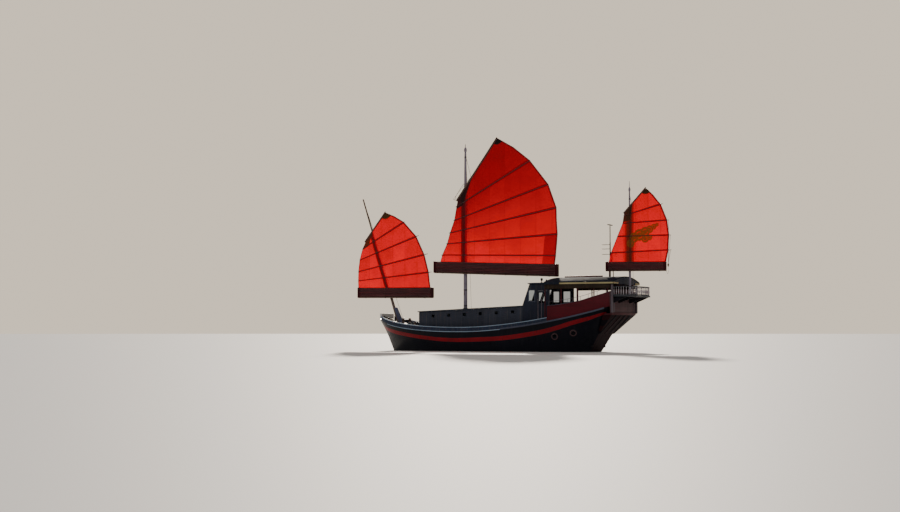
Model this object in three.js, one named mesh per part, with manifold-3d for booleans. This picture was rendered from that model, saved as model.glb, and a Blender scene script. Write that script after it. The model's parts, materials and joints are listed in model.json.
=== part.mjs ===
import * as THREE from 'three';
import { mergeVertices } from 'three/addons/utils/BufferGeometryUtils.js';
import Module from 'manifold-3d';

// Three-masted chinese junk, port and starboard alike below the sails. Millimetres.
// +X is forward, +Y is port, +Z is up. The origin is amidships on the centreline at the waterline.
const wasm = await Module();
wasm.setup();
const { Manifold, Mesh: SolidMesh } = wasm;

// Driving dimensions
const GAP = 0.3;            // standoff between pieces that touch
const MARGIN = 90;          // flat waterway along the deck edge
const PLANK = 65;           // bulwark thickness
const CAMBER = 60;          // rise of the deck at the centreline
const DECK_T = 30;          // deck planking
const BULWARK_H = 240;      // height of the low bulwark over the deck edge
const CAP_T = 60;           // cap rail thickness
const CABIN_Y = 1850;       // half-width over the trunk cabin walls
const CABIN_FORE = 6600;    // forward face of the trunk cabin
const CABIN_AFT = -2300;    // where the trunk cabin meets the wheelhouse
const WALL = 60;            // cabin wall thickness
const HOUSE_Y = 2050;       // half-width over the wheelhouse walls
const HOUSE_AFT = -4500;    // aft end of the wheelhouse walls
const SOLE_TOP = 2300;      // floor of the wheelhouse and saloon
const SOLE_T = 60;
const EAVE_Z = 4800;        // lower edge of the saloon canopy
const CROWN_Z = 5390;       // top of the saloon canopy at the centreline
const CANOPY_FORE = -4400;
const CANOPY_AFT = -9620;
const GALLERY_Z = 4020;     // top of the stern gallery floor
const MAIN_X = 3600;        // main mast axis
const MIZZEN_X = -9870;     // mizzen mast axis
const FORE_FOOT = [9590, 0, 2150];
const FORE_RAKE = 0.341;    // forward lean of the foremast, run over rise

// Hull sections. x is where the section's plane meets the waterline, rake its lean (run over rise).
// Half-breadths b and heights z: keel flat, bilge, waterline, topside and deck edge.
const STATIONS = [
  { x: -7180, rake: -0.61, keelB: 130, keelZ: -180, bilgeB: 780, bilgeZ: -90, waterB: 1000, sideB: 1360, sideZ: 1950, deckB: 2260, deckZ: 3200 },
  { x: -6500, rake: -0.52, keelB: 140, keelZ: -400, bilgeB: 1150, bilgeZ: -260, waterB: 1560, sideB: 2020, sideZ: 1500, deckB: 2480, deckZ: 2880 },
  { x: -5000, rake: -0.30, keelB: 150, keelZ: -800, bilgeB: 1500, bilgeZ: -580, waterB: 2150, sideB: 2500, sideZ: 1150, deckB: 2650, deckZ: 2380 },
  { x: -2500, rake: -0.10, keelB: 150, keelZ: -1100, bilgeB: 1650, bilgeZ: -860, waterB: 2480, sideB: 2730, sideZ: 900, deckB: 2760, deckZ: 1880 },
  { x: 500, rake: 0, keelB: 150, keelZ: -1220, bilgeB: 1700, bilgeZ: -960, waterB: 2600, sideB: 2820, sideZ: 800, deckB: 2830, deckZ: 1560 },
  { x: 3200, rake: 0, keelB: 150, keelZ: -1220, bilgeB: 1560, bilgeZ: -930, waterB: 2450, sideB: 2720, sideZ: 760, deckB: 2760, deckZ: 1500 },
  { x: 6000, rake: 0.08, keelB: 140, keelZ: -1120, bilgeB: 1120, bilgeZ: -820, waterB: 1950, sideB: 2340, sideZ: 860, deckB: 2480, deckZ: 1610 },
  { x: 8000, rake: 0.20, keelB: 120, keelZ: -860, bilgeB: 600, bilgeZ: -610, waterB: 1180, sideB: 1720, sideZ: 1020, deckB: 2060, deckZ: 1850 },
  { x: 9200, rake: 0.30, keelB: 90, keelZ: -520, bilgeB: 290, bilgeZ: -350, waterB: 560, sideB: 1080, sideZ: 1230, deckB: 1520, deckZ: 2160 },
  { x: 9930, rake: 0.36, keelB: 50, keelZ: -140, bilgeB: 90, bilgeZ: -80, waterB: 120, sideB: 340, sideZ: 1400, deckB: 780, deckZ: 2460 },
];
const STEPS = 3;            // sections added between two stations

const root = new THREE.Group();

function add(name, geometry, color) {
  const mesh = new THREE.Mesh(geometry, new THREE.MeshStandardMaterial({ color, roughness: 0.6 }));
  mesh.name = name;
  root.add(mesh);
}

// Builds an indexed geometry from points and faces with any number of corners.
function shell(points, faces) {
  const index = [];
  for (const f of faces) for (let i = 1; i + 1 < f.length; i += 1) index.push(f[0], f[i], f[i + 1]);
  const geometry = new THREE.BufferGeometry();
  geometry.setAttribute('position', new THREE.Float32BufferAttribute(points.flat(), 3));
  geometry.setIndex(index);
  return geometry;
}

function toSolid(geometry) {
  const bare = new THREE.BufferGeometry();
  bare.setAttribute('position', geometry.getAttribute('position').clone());
  if (geometry.index) bare.setIndex(geometry.index.clone());
  const merged = mergeVertices(bare, 1e-3);
  const solid = new Manifold(new SolidMesh({
    numProp: 3,
    vertProperties: new Float32Array(merged.getAttribute('position').array),
    triVerts: new Uint32Array(merged.index.array),
  }));
  return solid;
}

function toGeometry(solid) {
  const mesh = solid.getMesh();
  const geometry = new THREE.BufferGeometry();
  const points = new Float32Array(mesh.numVert * 3);
  for (let i = 0; i < mesh.numVert; i += 1) {
    for (let k = 0; k < 3; k += 1) points[i * 3 + k] = mesh.vertProperties[i * mesh.numProp + k];
  }
  geometry.setAttribute('position', new THREE.BufferAttribute(points, 3));
  geometry.setIndex(Array.from(mesh.triVerts));
  return geometry;
}

function cut(geometry, ...tools) {
  let solid = toSolid(geometry);
  for (const tool of tools) solid = solid.subtract(toSolid(tool));
  return toGeometry(solid);
}

function join(...parts) {
  let solid = toSolid(parts[0]);
  for (const part of parts.slice(1)) solid = solid.add(toSolid(part));
  return toGeometry(solid);
}

const moved = (geometry, x, y, z) => geometry.clone().translate(x, y, z);

function box(x0, x1, y0, y1, z0, z1) {
  const geometry = new THREE.BoxGeometry(x1 - x0, y1 - y0, z1 - z0);
  return geometry.translate((x0 + x1) / 2, (y0 + y1) / 2, (z0 + z1) / 2);
}

// Prism of an outline of [x, z] pairs, from y0 to y1.
function slab(outline, y0, y1) {
  const shape = new THREE.Shape(outline.map(([x, z]) => new THREE.Vector2(x, z)));
  const geometry = new THREE.ExtrudeGeometry(shape, { depth: y1 - y0, bevelEnabled: false });
  return geometry.rotateX(Math.PI / 2).translate(0, y1, 0);
}

// Prism of an outline of [x, y] pairs, from z0 to z1.
function plate(outline, z0, z1) {
  const shape = new THREE.Shape(outline.map(([x, y]) => new THREE.Vector2(x, y)));
  return new THREE.ExtrudeGeometry(shape, { depth: z1 - z0, bevelEnabled: false }).translate(0, 0, z0);
}

// Prism of an outline of [y, z] pairs, from x0 to x1.
function bulkhead(outline, x0, x1) {
  const shape = new THREE.Shape(outline.map(([y, z]) => new THREE.Vector2(y, z)));
  const geometry = new THREE.ExtrudeGeometry(shape, { depth: x1 - x0, bevelEnabled: false });
  return geometry.applyMatrix4(new THREE.Matrix4().set(0, 0, 1, x0, 1, 0, 0, 0, 0, 1, 0, 0, 0, 0, 0, 1));
}

function rod(from, to, r0, r1 = r0, sides = 16) {
  const a = new THREE.Vector3(...from);
  const b = new THREE.Vector3(...to);
  const geometry = new THREE.CylinderGeometry(r1, r0, a.distanceTo(b), sides);
  const turn = new THREE.Quaternion().setFromUnitVectors(new THREE.Vector3(0, 1, 0), b.clone().sub(a).normalize());
  geometry.applyQuaternion(turn);
  return geometry.translate((a.x + b.x) / 2, (a.y + b.y) / 2, (a.z + b.z) / 2);
}

function mirrored(geometry) {
  const copy = geometry.clone().scale(1, -1, 1);
  const index = copy.index ? Array.from(copy.index.array)
    : Array.from({ length: copy.getAttribute('position').count }, (_, i) => i);
  for (let i = 0; i < index.length; i += 3) [index[i + 1], index[i + 2]] = [index[i + 2], index[i + 1]];
  copy.setIndex(index);
  return copy;
}

// Catmull-Rom value through equally spaced samples.
function spline(values, u) {
  const last = values.length - 1;
  const i = Math.min(Math.floor(u), last - 1);
  const t = u - i;
  const p1 = values[i];
  const p2 = values[i + 1];
  const p0 = i > 0 ? values[i - 1] : 2 * p1 - p2;
  const p3 = i + 2 <= last ? values[i + 2] : 2 * p2 - p1;
  return 0.5 * (2 * p1 + (p2 - p0) * t + (2 * p0 - 5 * p1 + 4 * p2 - p3) * t * t
    + (3 * p1 - p0 - 3 * p2 + p3) * t * t * t);
}

function stationAt(u) {
  const s = {};
  for (const key of Object.keys(STATIONS[0])) s[key] = spline(STATIONS.map((row) => row[key]), u);
  return s;
}

const SECTIONS = [];
for (let u = 0; u <= STATIONS.length - 1 + 1e-9; u += 1 / (STEPS + 1)) SECTIONS.push(stationAt(u));

// Port half of a hull section from the keel's centre to the deck's centre, as [x, y, z].
function sectionPoints(s) {
  const knots = [[s.keelB, s.keelZ], [s.bilgeB, s.bilgeZ], [s.waterB, 0], [s.sideB, s.sideZ], [s.deckB, s.deckZ]];
  const half = [[0, s.keelZ], knots[0]];
  for (let k = 1; k <= 10; k += 1) {
    const u = (k / 10) * (knots.length - 1);
    half.push([spline(knots.map((p) => p[0]), u), spline(knots.map((p) => p[1]), u)]);
  }
  half.push([s.deckB - MARGIN, s.deckZ]);
  half.push([(s.deckB - MARGIN) / 2, s.deckZ + CAMBER * 0.75]);
  half.push([0, s.deckZ + CAMBER]);
  return half.map(([y, z]) => [s.x + s.rake * z, y, z]);
}

// Solid through symmetric sections; each starts and ends on the centreline.
function symmetricLoft(halves) {
  const n = halves[0].length;
  const ring = 2 * n - 2;
  const points = [];
  for (const half of halves) {
    points.push(...half);
    for (let i = n - 2; i > 0; i -= 1) points.push([half[i][0], -half[i][1], half[i][2]]);
  }
  const faces = [];
  for (let s = 0; s + 1 < halves.length; s += 1) {
    for (let i = 0; i < ring; i += 1) {
      const j = (i + 1) % ring;
      const face = [s * ring + i, (s + 1) * ring + i, (s + 1) * ring + j, s * ring + j];
      faces.push(i < n - 1 ? face : [...face.slice(1), face[0]]);
    }
  }
  const top = (halves.length - 1) * ring;
  for (let i = 0; i + 1 < n; i += 1) {
    const mirror = (k) => (k === 0 || k === n - 1 ? k : ring - k);
    const face = [i, i + 1, mirror(i + 1), mirror(i)].filter((v, k, all) => all.indexOf(v) === k);
    faces.push(face);
    faces.push(face.map((v) => v + top).reverse());
  }
  return shell(points, faces);
}

// Solid through rings of equal length given as [x, y, z] lists, with convex ends.
function ringLoft(rings) {
  const n = rings[0].length;
  const faces = [];
  for (let s = 0; s + 1 < rings.length; s += 1) {
    for (let i = 0; i < n; i += 1) {
      const j = (i + 1) % n;
      faces.push([s * n + i, (s + 1) * n + i, (s + 1) * n + j, s * n + j]);
    }
  }
  const ends = Array.from({ length: n }, (_, i) => i);
  faces.push([...ends]);
  faces.push(ends.map((v) => v + (rings.length - 1) * n).reverse());
  return shell(rings.flat(), faces);
}

// Outward winding, whichever way the rings ran.
function outward(geometry) {
  const p = geometry.getAttribute('position');
  const index = Array.from(geometry.index.array);
  const at = (i) => new THREE.Vector3().fromBufferAttribute(p, i);
  let volume = 0;
  for (let i = 0; i < index.length; i += 3) {
    volume += at(index[i]).dot(at(index[i + 1]).cross(at(index[i + 2])));
  }
  if (volume < 0) for (let i = 0; i < index.length; i += 3) [index[i + 1], index[i + 2]] = [index[i + 2], index[i + 1]];
  geometry.setIndex(index);
  return geometry;
}

const EDGE = SECTIONS.map((s) => ({ x: s.x + s.rake * s.deckZ, b: s.deckB, z: s.deckZ }));

function edgeAt(x) {
  let i = 0;
  while (i + 2 < EDGE.length && EDGE[i + 1].x < x) i += 1;
  const t = (x - EDGE[i].x) / (EDGE[i + 1].x - EDGE[i].x);
  return { x, b: EDGE[i].b + t * (EDGE[i + 1].b - EDGE[i].b), z: EDGE[i].z + t * (EDGE[i + 1].z - EDGE[i].z) };
}

const edgeRange = (x0, x1) => [edgeAt(x0), ...EDGE.filter((e) => e.x > x0 + 5 && e.x < x1 - 5), edgeAt(x1)];

// Strip along the port deck edge, between two insets from the edge and two heights.
function edgeStrip(x0, x1, outer, inner, low, high) {
  const rings = edgeRange(x0, x1).map((e) => [
    [e.x, e.b - outer, low(e)], [e.x, e.b - outer, high(e)],
    [e.x, e.b - inner, high(e)], [e.x, e.b - inner, low(e)],
  ]);
  return outward(ringLoft(rings));
}

// Height on a line through rows of [x, z], straight between them.
function lineAt(rows, x) {
  let i = 0;
  while (i + 2 < rows.length && rows[i + 1][0] < x) i += 1;
  const t = (x - rows[i][0]) / (rows[i + 1][0] - rows[i][0]);
  return rows[i][1] + t * (rows[i + 1][1] - rows[i][1]);
}

// Hull with a well for the saloon floor and a pocket for the engine
const BULWARK_FORE = 10560;
const BULWARK_AFT = -4600;
const WELL_AFT = -8400;
const SKIN = 80;            // least thickness of the side beside the saloon floor
// Half-breadth of the hull's skin at the height of the saloon floor
const skinRows = SECTIONS.map((s) => {
  const half = sectionPoints(s).slice(1, 12);
  const above = half.findIndex((p) => p[2] > SOLE_TOP - SOLE_T);
  const [a, b] = above < 1 ? [half[10], half[10]] : [half[above - 1], half[above]];
  const t = above < 1 ? 0 : (SOLE_TOP - SOLE_T - a[2]) / (b[2] - a[2]);
  return [a[0] + t * (b[0] - a[0]), a[1] + t * (b[1] - a[1])];
});
const soleOutline = (grow) => {
  const aftPart = [WELL_AFT, -8000, -7660, -7200, -6700, -6200, -5645, -5100, -4640].map((x) => [
    x - (x === WELL_AFT ? grow : 0), Math.min(edgeAt(x).b - MARGIN, lineAt(skinRows, x) - SKIN) + grow]);
  const half = [...aftPart, [-4560, HOUSE_Y - WALL - 20 + grow], [CABIN_AFT - WALL - 10 + grow, HOUSE_Y - WALL - 20 + grow]];
  return [...half, ...half.map(([x, y]) => [x, -y]).reverse()];
};
const POCKET = [-5900, -4100, -650, 650, 100];
const hullSolid = outward(symmetricLoft(SECTIONS.map(sectionPoints)));
const well = plate(soleOutline(GAP), SOLE_TOP - SOLE_T - GAP, 4000);
const pocket = box(POCKET[0], POCKET[1], POCKET[2], POCKET[3], POCKET[4], 4000);
const hull = cut(hullSolid, well, pocket);
add('hull', hull, '#23242c');
const hullTool = moved(hullSolid, 0, 0, GAP);

// Keel with its deadwood, the screw aperture and the shoe under the rudder
const SHOE_Z = -1680;       // top of the shoe that carries the rudder
const KEEL_LINE = [
  [9000, -500], [8300, -1150], [6800, -1560], [3000, -1700], [-3000, -1780], [-6900, -1800],
  [-6900, SHOE_Z], [-6540, SHOE_Z], [-5640, -1620], [-5560, -1450], [-5560, -500], [0, -900], [7000, -700],
];
const keelBlank = slab(KEEL_LINE, -110, 110);
add('keel', cut(keelBlank, moved(hullSolid, 0, 0, -GAP), hullSolid), '#1d1e25');

// Deck planking from the bow to the saloon
function deckLoft(low, high) {
  return outward(symmetricLoft(edgeRange(BULWARK_AFT + 10, 10500).map((e) => {
    const w = e.b - MARGIN;
    return [
      [e.x, 0, e.z + CAMBER + low], [e.x, w / 2, e.z + CAMBER * 0.75 + low], [e.x, w, e.z + low],
      [e.x, w, e.z + high], [e.x, w / 2, e.z + CAMBER * 0.75 + high], [e.x, 0, e.z + CAMBER + high],
    ];
  })));
}
add('main_deck', cut(deckLoft(-40, DECK_T), pocket, hullTool, well), '#8d7a63');
const deckTool = deckLoft(-60, DECK_T + GAP);

// Low bulwarks with their cap rails, and the beam across the bow
for (const [side, place] of [['port', (g) => g], ['starboard', mirrored]]) {
  const wall = edgeStrip(BULWARK_AFT, BULWARK_FORE, 5, 5 + PLANK, (e) => e.z + GAP, (e) => e.z + BULWARK_H);
  add(`bulwark_${side}`, place(wall), '#2c3c58');
  const cap = edgeStrip(BULWARK_AFT, BULWARK_FORE, -45, 100, (e) => e.z + BULWARK_H + GAP, (e) => e.z + BULWARK_H + CAP_T);
  add(`cap_rail_${side}`, place(cap), '#7f9bbd');
  const rub = edgeStrip(-8900, -900, -62, -GAP, (e) => e.z - 75, (e) => e.z + 45);
  const clear = moved(hullSolid, 0, GAP, 0);
  add(`rub_rail_${side}`, place(cut(rub, clear)), '#6f7c92');
}
add('bow_beam', cut(box(BULWARK_FORE + 1, BULWARK_FORE + 190, -860, 860, 2480, 2860), hullTool, deckTool), '#b9bec6');

// Trunk cabin: walls with cut portlights, and a roof deck people stand on
const ROOF_RISE = 0.04;
const roofZ = (x) => 3000 + (CABIN_FORE - x) * ROOF_RISE;
const ROOF_T = 70;
const roofUnder = (x) => roofZ(x) - ROOF_T;
const PORTLIGHTS = [5350, 4000, 2650, 1300, -50, -1400];
function cabinSide() {
  const aft = CABIN_AFT + GAP;
  const wall = slab([
    [aft, 1000], [CABIN_FORE - WALL - GAP, 1000],
    [CABIN_FORE - WALL - GAP, roofUnder(CABIN_FORE - WALL) - GAP], [aft, roofUnder(aft) - GAP],
  ], CABIN_Y - WALL, CABIN_Y);
  const holes = PORTLIGHTS.map((x) => box(x - 150, x + 150, CABIN_Y - 2 * WALL, CABIN_Y + WALL,
    roofZ(x) - 560, roofZ(x) - 290));
  return cut(wall, hullTool, deckTool, ...holes);
}
add('cabin_wall_port', cabinSide(), '#5e6f88');
add('cabin_wall_starboard', mirrored(cabinSide()), '#5e6f88');
const cabinFrontBlank = box(CABIN_FORE - WALL, CABIN_FORE, -CABIN_Y, CABIN_Y, 1000, roofUnder(CABIN_FORE) - GAP);
add('cabin_front', cut(cabinFrontBlank, hullTool, deckTool), '#5e6f88');
const roofBlank = slab([
  [CABIN_AFT + GAP, roofUnder(CABIN_AFT)], [CABIN_FORE + 90, roofUnder(CABIN_FORE + 90)],
  [CABIN_FORE + 90, roofZ(CABIN_FORE + 90)], [CABIN_AFT + GAP, roofZ(CABIN_AFT)],
], -CABIN_Y - 90, CABIN_Y + 90);
add('cabin_roof', roofBlank, '#6b7482');

// Wheelhouse: leaning front with windows, side walls, a door to port and a roof
const HOUSE_TOP = 4900;
const HOUSE_SILL = 3600;
const LEAN = 580;
const frontX = (z) => CABIN_AFT + GAP * 0 - Math.max(0, (z - 3330) / (HOUSE_TOP - 3330)) * LEAN;
function houseSide(side) {
  const blank = slab([
    [HOUSE_AFT, 1000], [CABIN_AFT - WALL - GAP, 1000], [CABIN_AFT - WALL - GAP, 3330],
    [frontX(HOUSE_TOP) - WALL - GAP, HOUSE_TOP - GAP], [HOUSE_AFT, HOUSE_TOP - GAP],
  ], HOUSE_Y - WALL, HOUSE_Y);
  const holes = [box(-3330, -2780, HOUSE_Y - 2 * WALL, HOUSE_Y + WALL, HOUSE_SILL, 4480)];
  if (side === 'port') holes.push(box(-4290, -3530, HOUSE_Y - 2 * WALL, HOUSE_Y + WALL, 2520, 4400));
  else holes.push(box(-4250, -3600, HOUSE_Y - 2 * WALL, HOUSE_Y + WALL, HOUSE_SILL, 4480));
  const walls = cut(blank, hullTool, deckTool, ...holes);
  return side === 'port' ? walls : mirrored(walls);
}
add('wheelhouse_port', houseSide('port'), '#2d3a5c');
add('wheelhouse_starboard', houseSide('starboard'), '#2d3a5c');
const frontBlank = slab([
  [CABIN_AFT - WALL, 1000], [CABIN_AFT, 1000], [CABIN_AFT, 3330], [frontX(HOUSE_TOP), HOUSE_TOP - GAP],
  [frontX(HOUSE_TOP) - WALL, HOUSE_TOP - GAP], [CABIN_AFT - WALL, 3330],
], -HOUSE_Y, HOUSE_Y);
const frontHoles = [-1330, 0, 1330].map((y) => box(-3200, -2100, y - 520, y + 520, HOUSE_SILL + 80, 4600));
frontHoles.push(box(-3200, -2100, -400, 400, 2330, 3300));
add('wheelhouse_front', cut(frontBlank, hullTool, deckTool, ...frontHoles), '#2d3a5c');
const houseRoof = [];
for (let k = 0; k <= 8; k += 1) {
  const y = (k / 8) * (HOUSE_Y + 120);
  houseRoof.push([y, 90 * (1 - (y / (HOUSE_Y + 120)) ** 2)]);
}
const houseRoofOutline = [
  [-HOUSE_Y - 120, HOUSE_TOP], [HOUSE_Y + 120, HOUSE_TOP],
  ...houseRoof.map(([y, z]) => [y, HOUSE_TOP + 60 + z]).reverse(),
  ...houseRoof.slice(1).map(([y, z]) => [-y, HOUSE_TOP + 60 + z]),
];
add('wheelhouse_roof', bulkhead(houseRoofOutline, -4380, -2780), '#39466a');

// Door in the port wheelhouse wall, hinged on its forward edge
const DOOR_PIN = [-3534, HOUSE_Y + 16 + GAP];
const door = [box(-4282, -3538, HOUSE_Y - 50, HOUSE_Y - 10, 2528, 4392)];
for (const z of [2700, 3400, 4150]) {
  door.push(rod([DOOR_PIN[0], DOOR_PIN[1], z], [DOOR_PIN[0], DOOR_PIN[1], z + 110], 16, 16, 24));
  door.push(box(-3610, DOOR_PIN[0], HOUSE_Y - 20, DOOR_PIN[1], z, z + 110));
}
add('wheelhouse_door', join(...door), '#46557a');

// Floor of the wheelhouse and saloon, with the engine under a hinged lid
const HATCH = [-5500, -4620, 480];
const soleBlank = plate(soleOutline(-1), SOLE_TOP - SOLE_T, SOLE_TOP);
const hatchHole = box(HATCH[0] - 6, HATCH[1] + 6, -HATCH[2] - 6, HATCH[2] + 6, SOLE_TOP - 200, SOLE_TOP + 200);
add('saloon_floor', cut(soleBlank, hatchHole), '#8a6f50');
const HATCH_PIN = [HATCH[0] - 3, SOLE_TOP + 12 + GAP];
const lid = [box(HATCH[0], HATCH[1], -HATCH[2], HATCH[2], SOLE_TOP - 45, SOLE_TOP)];
for (const y of [-330, 230]) {
  lid.push(rod([HATCH_PIN[0], y, HATCH_PIN[1]], [HATCH_PIN[0], y + 100, HATCH_PIN[1]], 12, 12, 24));
  lid.push(box(HATCH_PIN[0], HATCH[0] + 90, y, y + 100, SOLE_TOP - 10, HATCH_PIN[1]));
}
add('engine_hatch', join(...lid), '#94795a');
add('engine', box(-5800, -4200, -450, 450, POCKET[4] + GAP, 1250), '#5b6b62');

// Poop bulwarks that rise to the stern
const POOP_LINE = [[-9300, 4270], [-9060, 4190], [-7180, 3640], [-6210, 3470], [-5300, 3350], [-4540, 3300]];
const poopWall = () => edgeStrip(-9280, BULWARK_AFT - GAP, 5, 5 + PLANK, (e) => e.z + GAP, (e) => lineAt(POOP_LINE, e.x));
const TRANSOM_X = -9300;
add('poop_bulwark_port', poopWall(), '#5e2434');
add('poop_bulwark_starboard', mirrored(poopWall()), '#5e2434');

// Upper transom board, its shelf over the hull's transom, and the corner posts
const boardOutline = [
  [-2230, 2735 + GAP], [2230, 2735 + GAP], [2300, 4300], [1300, 4420], [0, 4460], [-1300, 4420], [-2300, 4300],
];
const board = bulkhead(boardOutline, TRANSOM_X - 80, TRANSOM_X - GAP);
const raisedPanel = bulkhead([[-1950, 2900], [1950, 2900], [1950, 3800], [-1950, 3800]], TRANSOM_X - 100, TRANSOM_X - 79);
add('transom_board', join(board, raisedPanel), '#8b7a86');
const transomX = (z) => STATIONS[0].x + STATIONS[0].rake * z - GAP * 2;
add('transom_shelf', slab([[TRANSOM_X - 80, 2640], [transomX(2640), 2640], [transomX(2735), 2735],
  [TRANSOM_X - 80, 2735]], -2150, 2150), '#7a4048');
for (const [side, place] of [['port', (g) => g], ['starboard', mirrored]]) {
  add(`corner_post_${side}`, place(box(TRANSOM_X - 200, TRANSOM_X - 80 - GAP, 2080, 2250, 2780, EAVE_Z - 20)), '#9a93a0');
}

// Saloon canopy: cambered roof on a frame of posts each side
const canopyHalf = (x) => 2810 + (x - CANOPY_FORE) * 0.087;
function canopyBlank() {
  const half = canopyHalf(CANOPY_FORE);
  const top = [];
  const under = [];
  for (let k = -8; k <= 8; k += 1) {
    const t = k / 8;
    top.push([t * half, EAVE_Z + 200 + (CROWN_Z - EAVE_Z - 200) * (1 - t * t)]);
    under.push([t * (half - 60), EAVE_Z + 140 + (CROWN_Z - EAVE_Z - 210) * (1 - t * t)]);
  }
  const outline = [...top, [half, EAVE_Z], [half - 60, EAVE_Z], ...under.reverse(),
    [-half + 60, EAVE_Z], [-half, EAVE_Z]];
  const geometry = bulkhead(outline, CANOPY_AFT, CANOPY_FORE);
  const p = geometry.getAttribute('position');
  for (let i = 0; i < p.count; i += 1) p.setY(i, p.getY(i) * (canopyHalf(p.getX(i)) / half));
  return geometry;
}
const canopy = canopyBlank();
add('canopy_roof', canopy, '#6d7b93');
const POSTS = [-4450, -5700, -6950, -8150, -9120];
function canopyFrame() {
  const beamLow = EAVE_Z - 20;
  const halfAt = (x) => edgeAt(x).b - 40;
  const beamRows = [-9240, -8150, -6950, -5700, -4390];
  const beam = outward(ringLoft(beamRows.map((x) => {
    const y = Math.min(halfAt(x), canopyHalf(x) - 95);
    const high = EAVE_Z + 170;
    return [[x, y - 25, beamLow], [x, y - 25, high], [x, y + 25, high], [x, y + 25, beamLow]];
  })));
  const posts = POSTS.map((x) => {
    const y = Math.min(halfAt(x), canopyHalf(x) - 95);
    return box(x - 35, x + 35, y - 25, y + 25, edgeAt(x).z - 20, beamLow + 40);
  });
  const frame = join(beam, ...posts);
  const railTool = edgeStrip(BULWARK_AFT, 0, -45, 100, (e) => e.z - 300, (e) => e.z + BULWARK_H + CAP_T + GAP);
  const poopTool = edgeStrip(-9280, BULWARK_AFT, 0, 80, (e) => e.z - 300, (e) => lineAt(POOP_LINE, e.x) + GAP);
  return cut(frame, hullTool, poopTool, railTool, moved(canopy, 0, 0, -GAP));
}
add('canopy_frame_port', canopyFrame(), '#7d4a4a');
add('canopy_frame_starboard', mirrored(canopyFrame()), '#7d4a4a');

// Stern gallery: a floor out over the transom and a curved balustrade
const GALLERY = [[-9385, 2070], [-10300, 2070], [-10640, 1880], [-10840, 1200], [-10900, 400]];
const galleryOutline = (inset, front) => {
  const half = GALLERY.map(([x, y], i) => [i === 0 ? front : x + inset, y - inset]);
  return [...half, ...half.map(([x, y]) => [x, -y]).reverse()];
};
add('gallery_floor', plate(galleryOutline(0, TRANSOM_X - 80 - GAP), GALLERY_Z - 110, GALLERY_Z), '#6f6b72');
function balustrade() {
  const path = galleryOutline(60, TRANSOM_X - 220);
  const parts = [];
  for (let i = 0; i + 1 < path.length; i += 1) {
    const [ax, ay] = path[i];
    const [bx, by] = path[i + 1];
    for (const [z, r] of [[GALLERY_Z + 40, 30], [GALLERY_Z + 600, 38]]) {
      parts.push(rod([ax, ay, z], [bx, by, z], r, r, 8));
      if (i > 0) parts.push(moved(new THREE.SphereGeometry(r * 1.06, 8, 6), ax, ay, z));
    }
    const span = Math.hypot(bx - ax, by - ay);
    const count = Math.max(1, Math.round(span / 260));
    for (let k = 0; k < count; k += 1) {
      const t = (k + 0.5) / count;
      const x = ax + (bx - ax) * t;
      const y = ay + (by - ay) * t;
      parts.push(rod([x, y, GALLERY_Z + GAP], [x, y, GALLERY_Z + 600], 24, 24, 6));
    }
  }
  return join(...parts);
}
add('gallery_balustrade', cut(balustrade(), moved(rod([0, 0, 0], [0, 0, 900], 1), 20000, 0, 0)), '#8d8a90');

// Masts. Each gives its axis and radius by height.
const foreAt = (z) => FORE_FOOT[0] + (z - FORE_FOOT[2]) * FORE_RAKE;
const MASTS = {
  main: { x: () => MAIN_X, foot: roofZ(MAIN_X) - 60, top: 15720, r: [145, 62] },
  fore: { x: foreAt, foot: 1950, top: 11900, r: [120, 52] },
  mizzen: { x: () => MIZZEN_X, foot: GALLERY_Z + GAP, top: 12200, r: [86, 40] },
};
const mastRadius = (m, z) => m.r[0] + ((z - m.foot) / (m.top - m.foot)) * (m.r[1] - m.r[0]);
function mastBlank(m, grow = 0) {
  return rod([m.x(m.foot), 0, m.foot], [m.x(m.top), 0, m.top], m.r[0] + grow, m.r[1] + grow, 20);
}
add('main_mast', cut(mastBlank(MASTS.main), moved(roofBlank, 0, 0, GAP)), '#4c4a5e');
add('fore_mast', cut(mastBlank(MASTS.fore), hullTool, deckTool), '#5d6b86');
add('mizzen_mast', mastBlank(MASTS.mizzen), '#4c4a5e');

// Collar round a mast at height z, with a chock out to the sail set at y.
function parrel(mast, z, high, y, wide) {
  const at = (h) => [mast.x(h), 0, h];
  const inner = mastRadius(mast, z - high) + GAP + 1;
  const collar = rod(at(z - high), at(z + high), inner + 34, inner + 34, 24);
  const chock = box(mast.x(z) - wide, mast.x(z) + wide, inner, y, z - high * 0.8, z + high * 0.8);
  return cut(join(collar, chock), rod(at(z - 3 * high), at(z + 3 * high), inner, inner, 24));
}

// One sail set: ribbed cloth, yard, and the stacked lower battens with the boom. Rows are [x, z].
function sailSet(name, set, color) {
  const edge = [...set.leech, ...set.luff];
  const [[ax, az], [bx, bz]] = set.yard;
  const [ra, rb] = set.yardR;
  const reach = 600 / Math.hypot(bx - ax, bz - az);
  const spar = (k, grow) => rod([ax - (bx - ax) * k, set.y, az - (bz - az) * k],
    [bx + (bx - ax) * k, set.y, bz + (bz - az) * k], ra - (rb - ra) * k + grow, rb + (rb - ra) * k + grow, 12);
  let cloth = slab(edge, set.y - 7, set.y + 7);
  const ribs = set.battens.map(([x0, z0, x1, z1]) => rod([x0, set.y + 17, z0], [x1, set.y + 17, z1], set.rib, set.rib, 8));
  cloth = cut(join(cloth, ...ribs), spar(reach, GAP));
  const mast = MASTS[name];
  const bundle = slab(set.bundle, set.y - set.bundleY / 2, set.y + set.bundleY / 2);
  const lower = parrel(mast, set.collar[0], 70, set.y - set.bundleY / 2 + 20, 60);
  const upper = parrel(mast, set.collar[1], 45, set.y - 20, 34);
  add(`${name}_sail`, cut(cloth, moved(bundle, 0, 0, GAP)), color);
  add(`${name}_yard`, join(spar(0, 0), upper), '#3d2a2c');
  add(`${name}_boom`, join(bundle, lower), '#4a2030');
}
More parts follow.
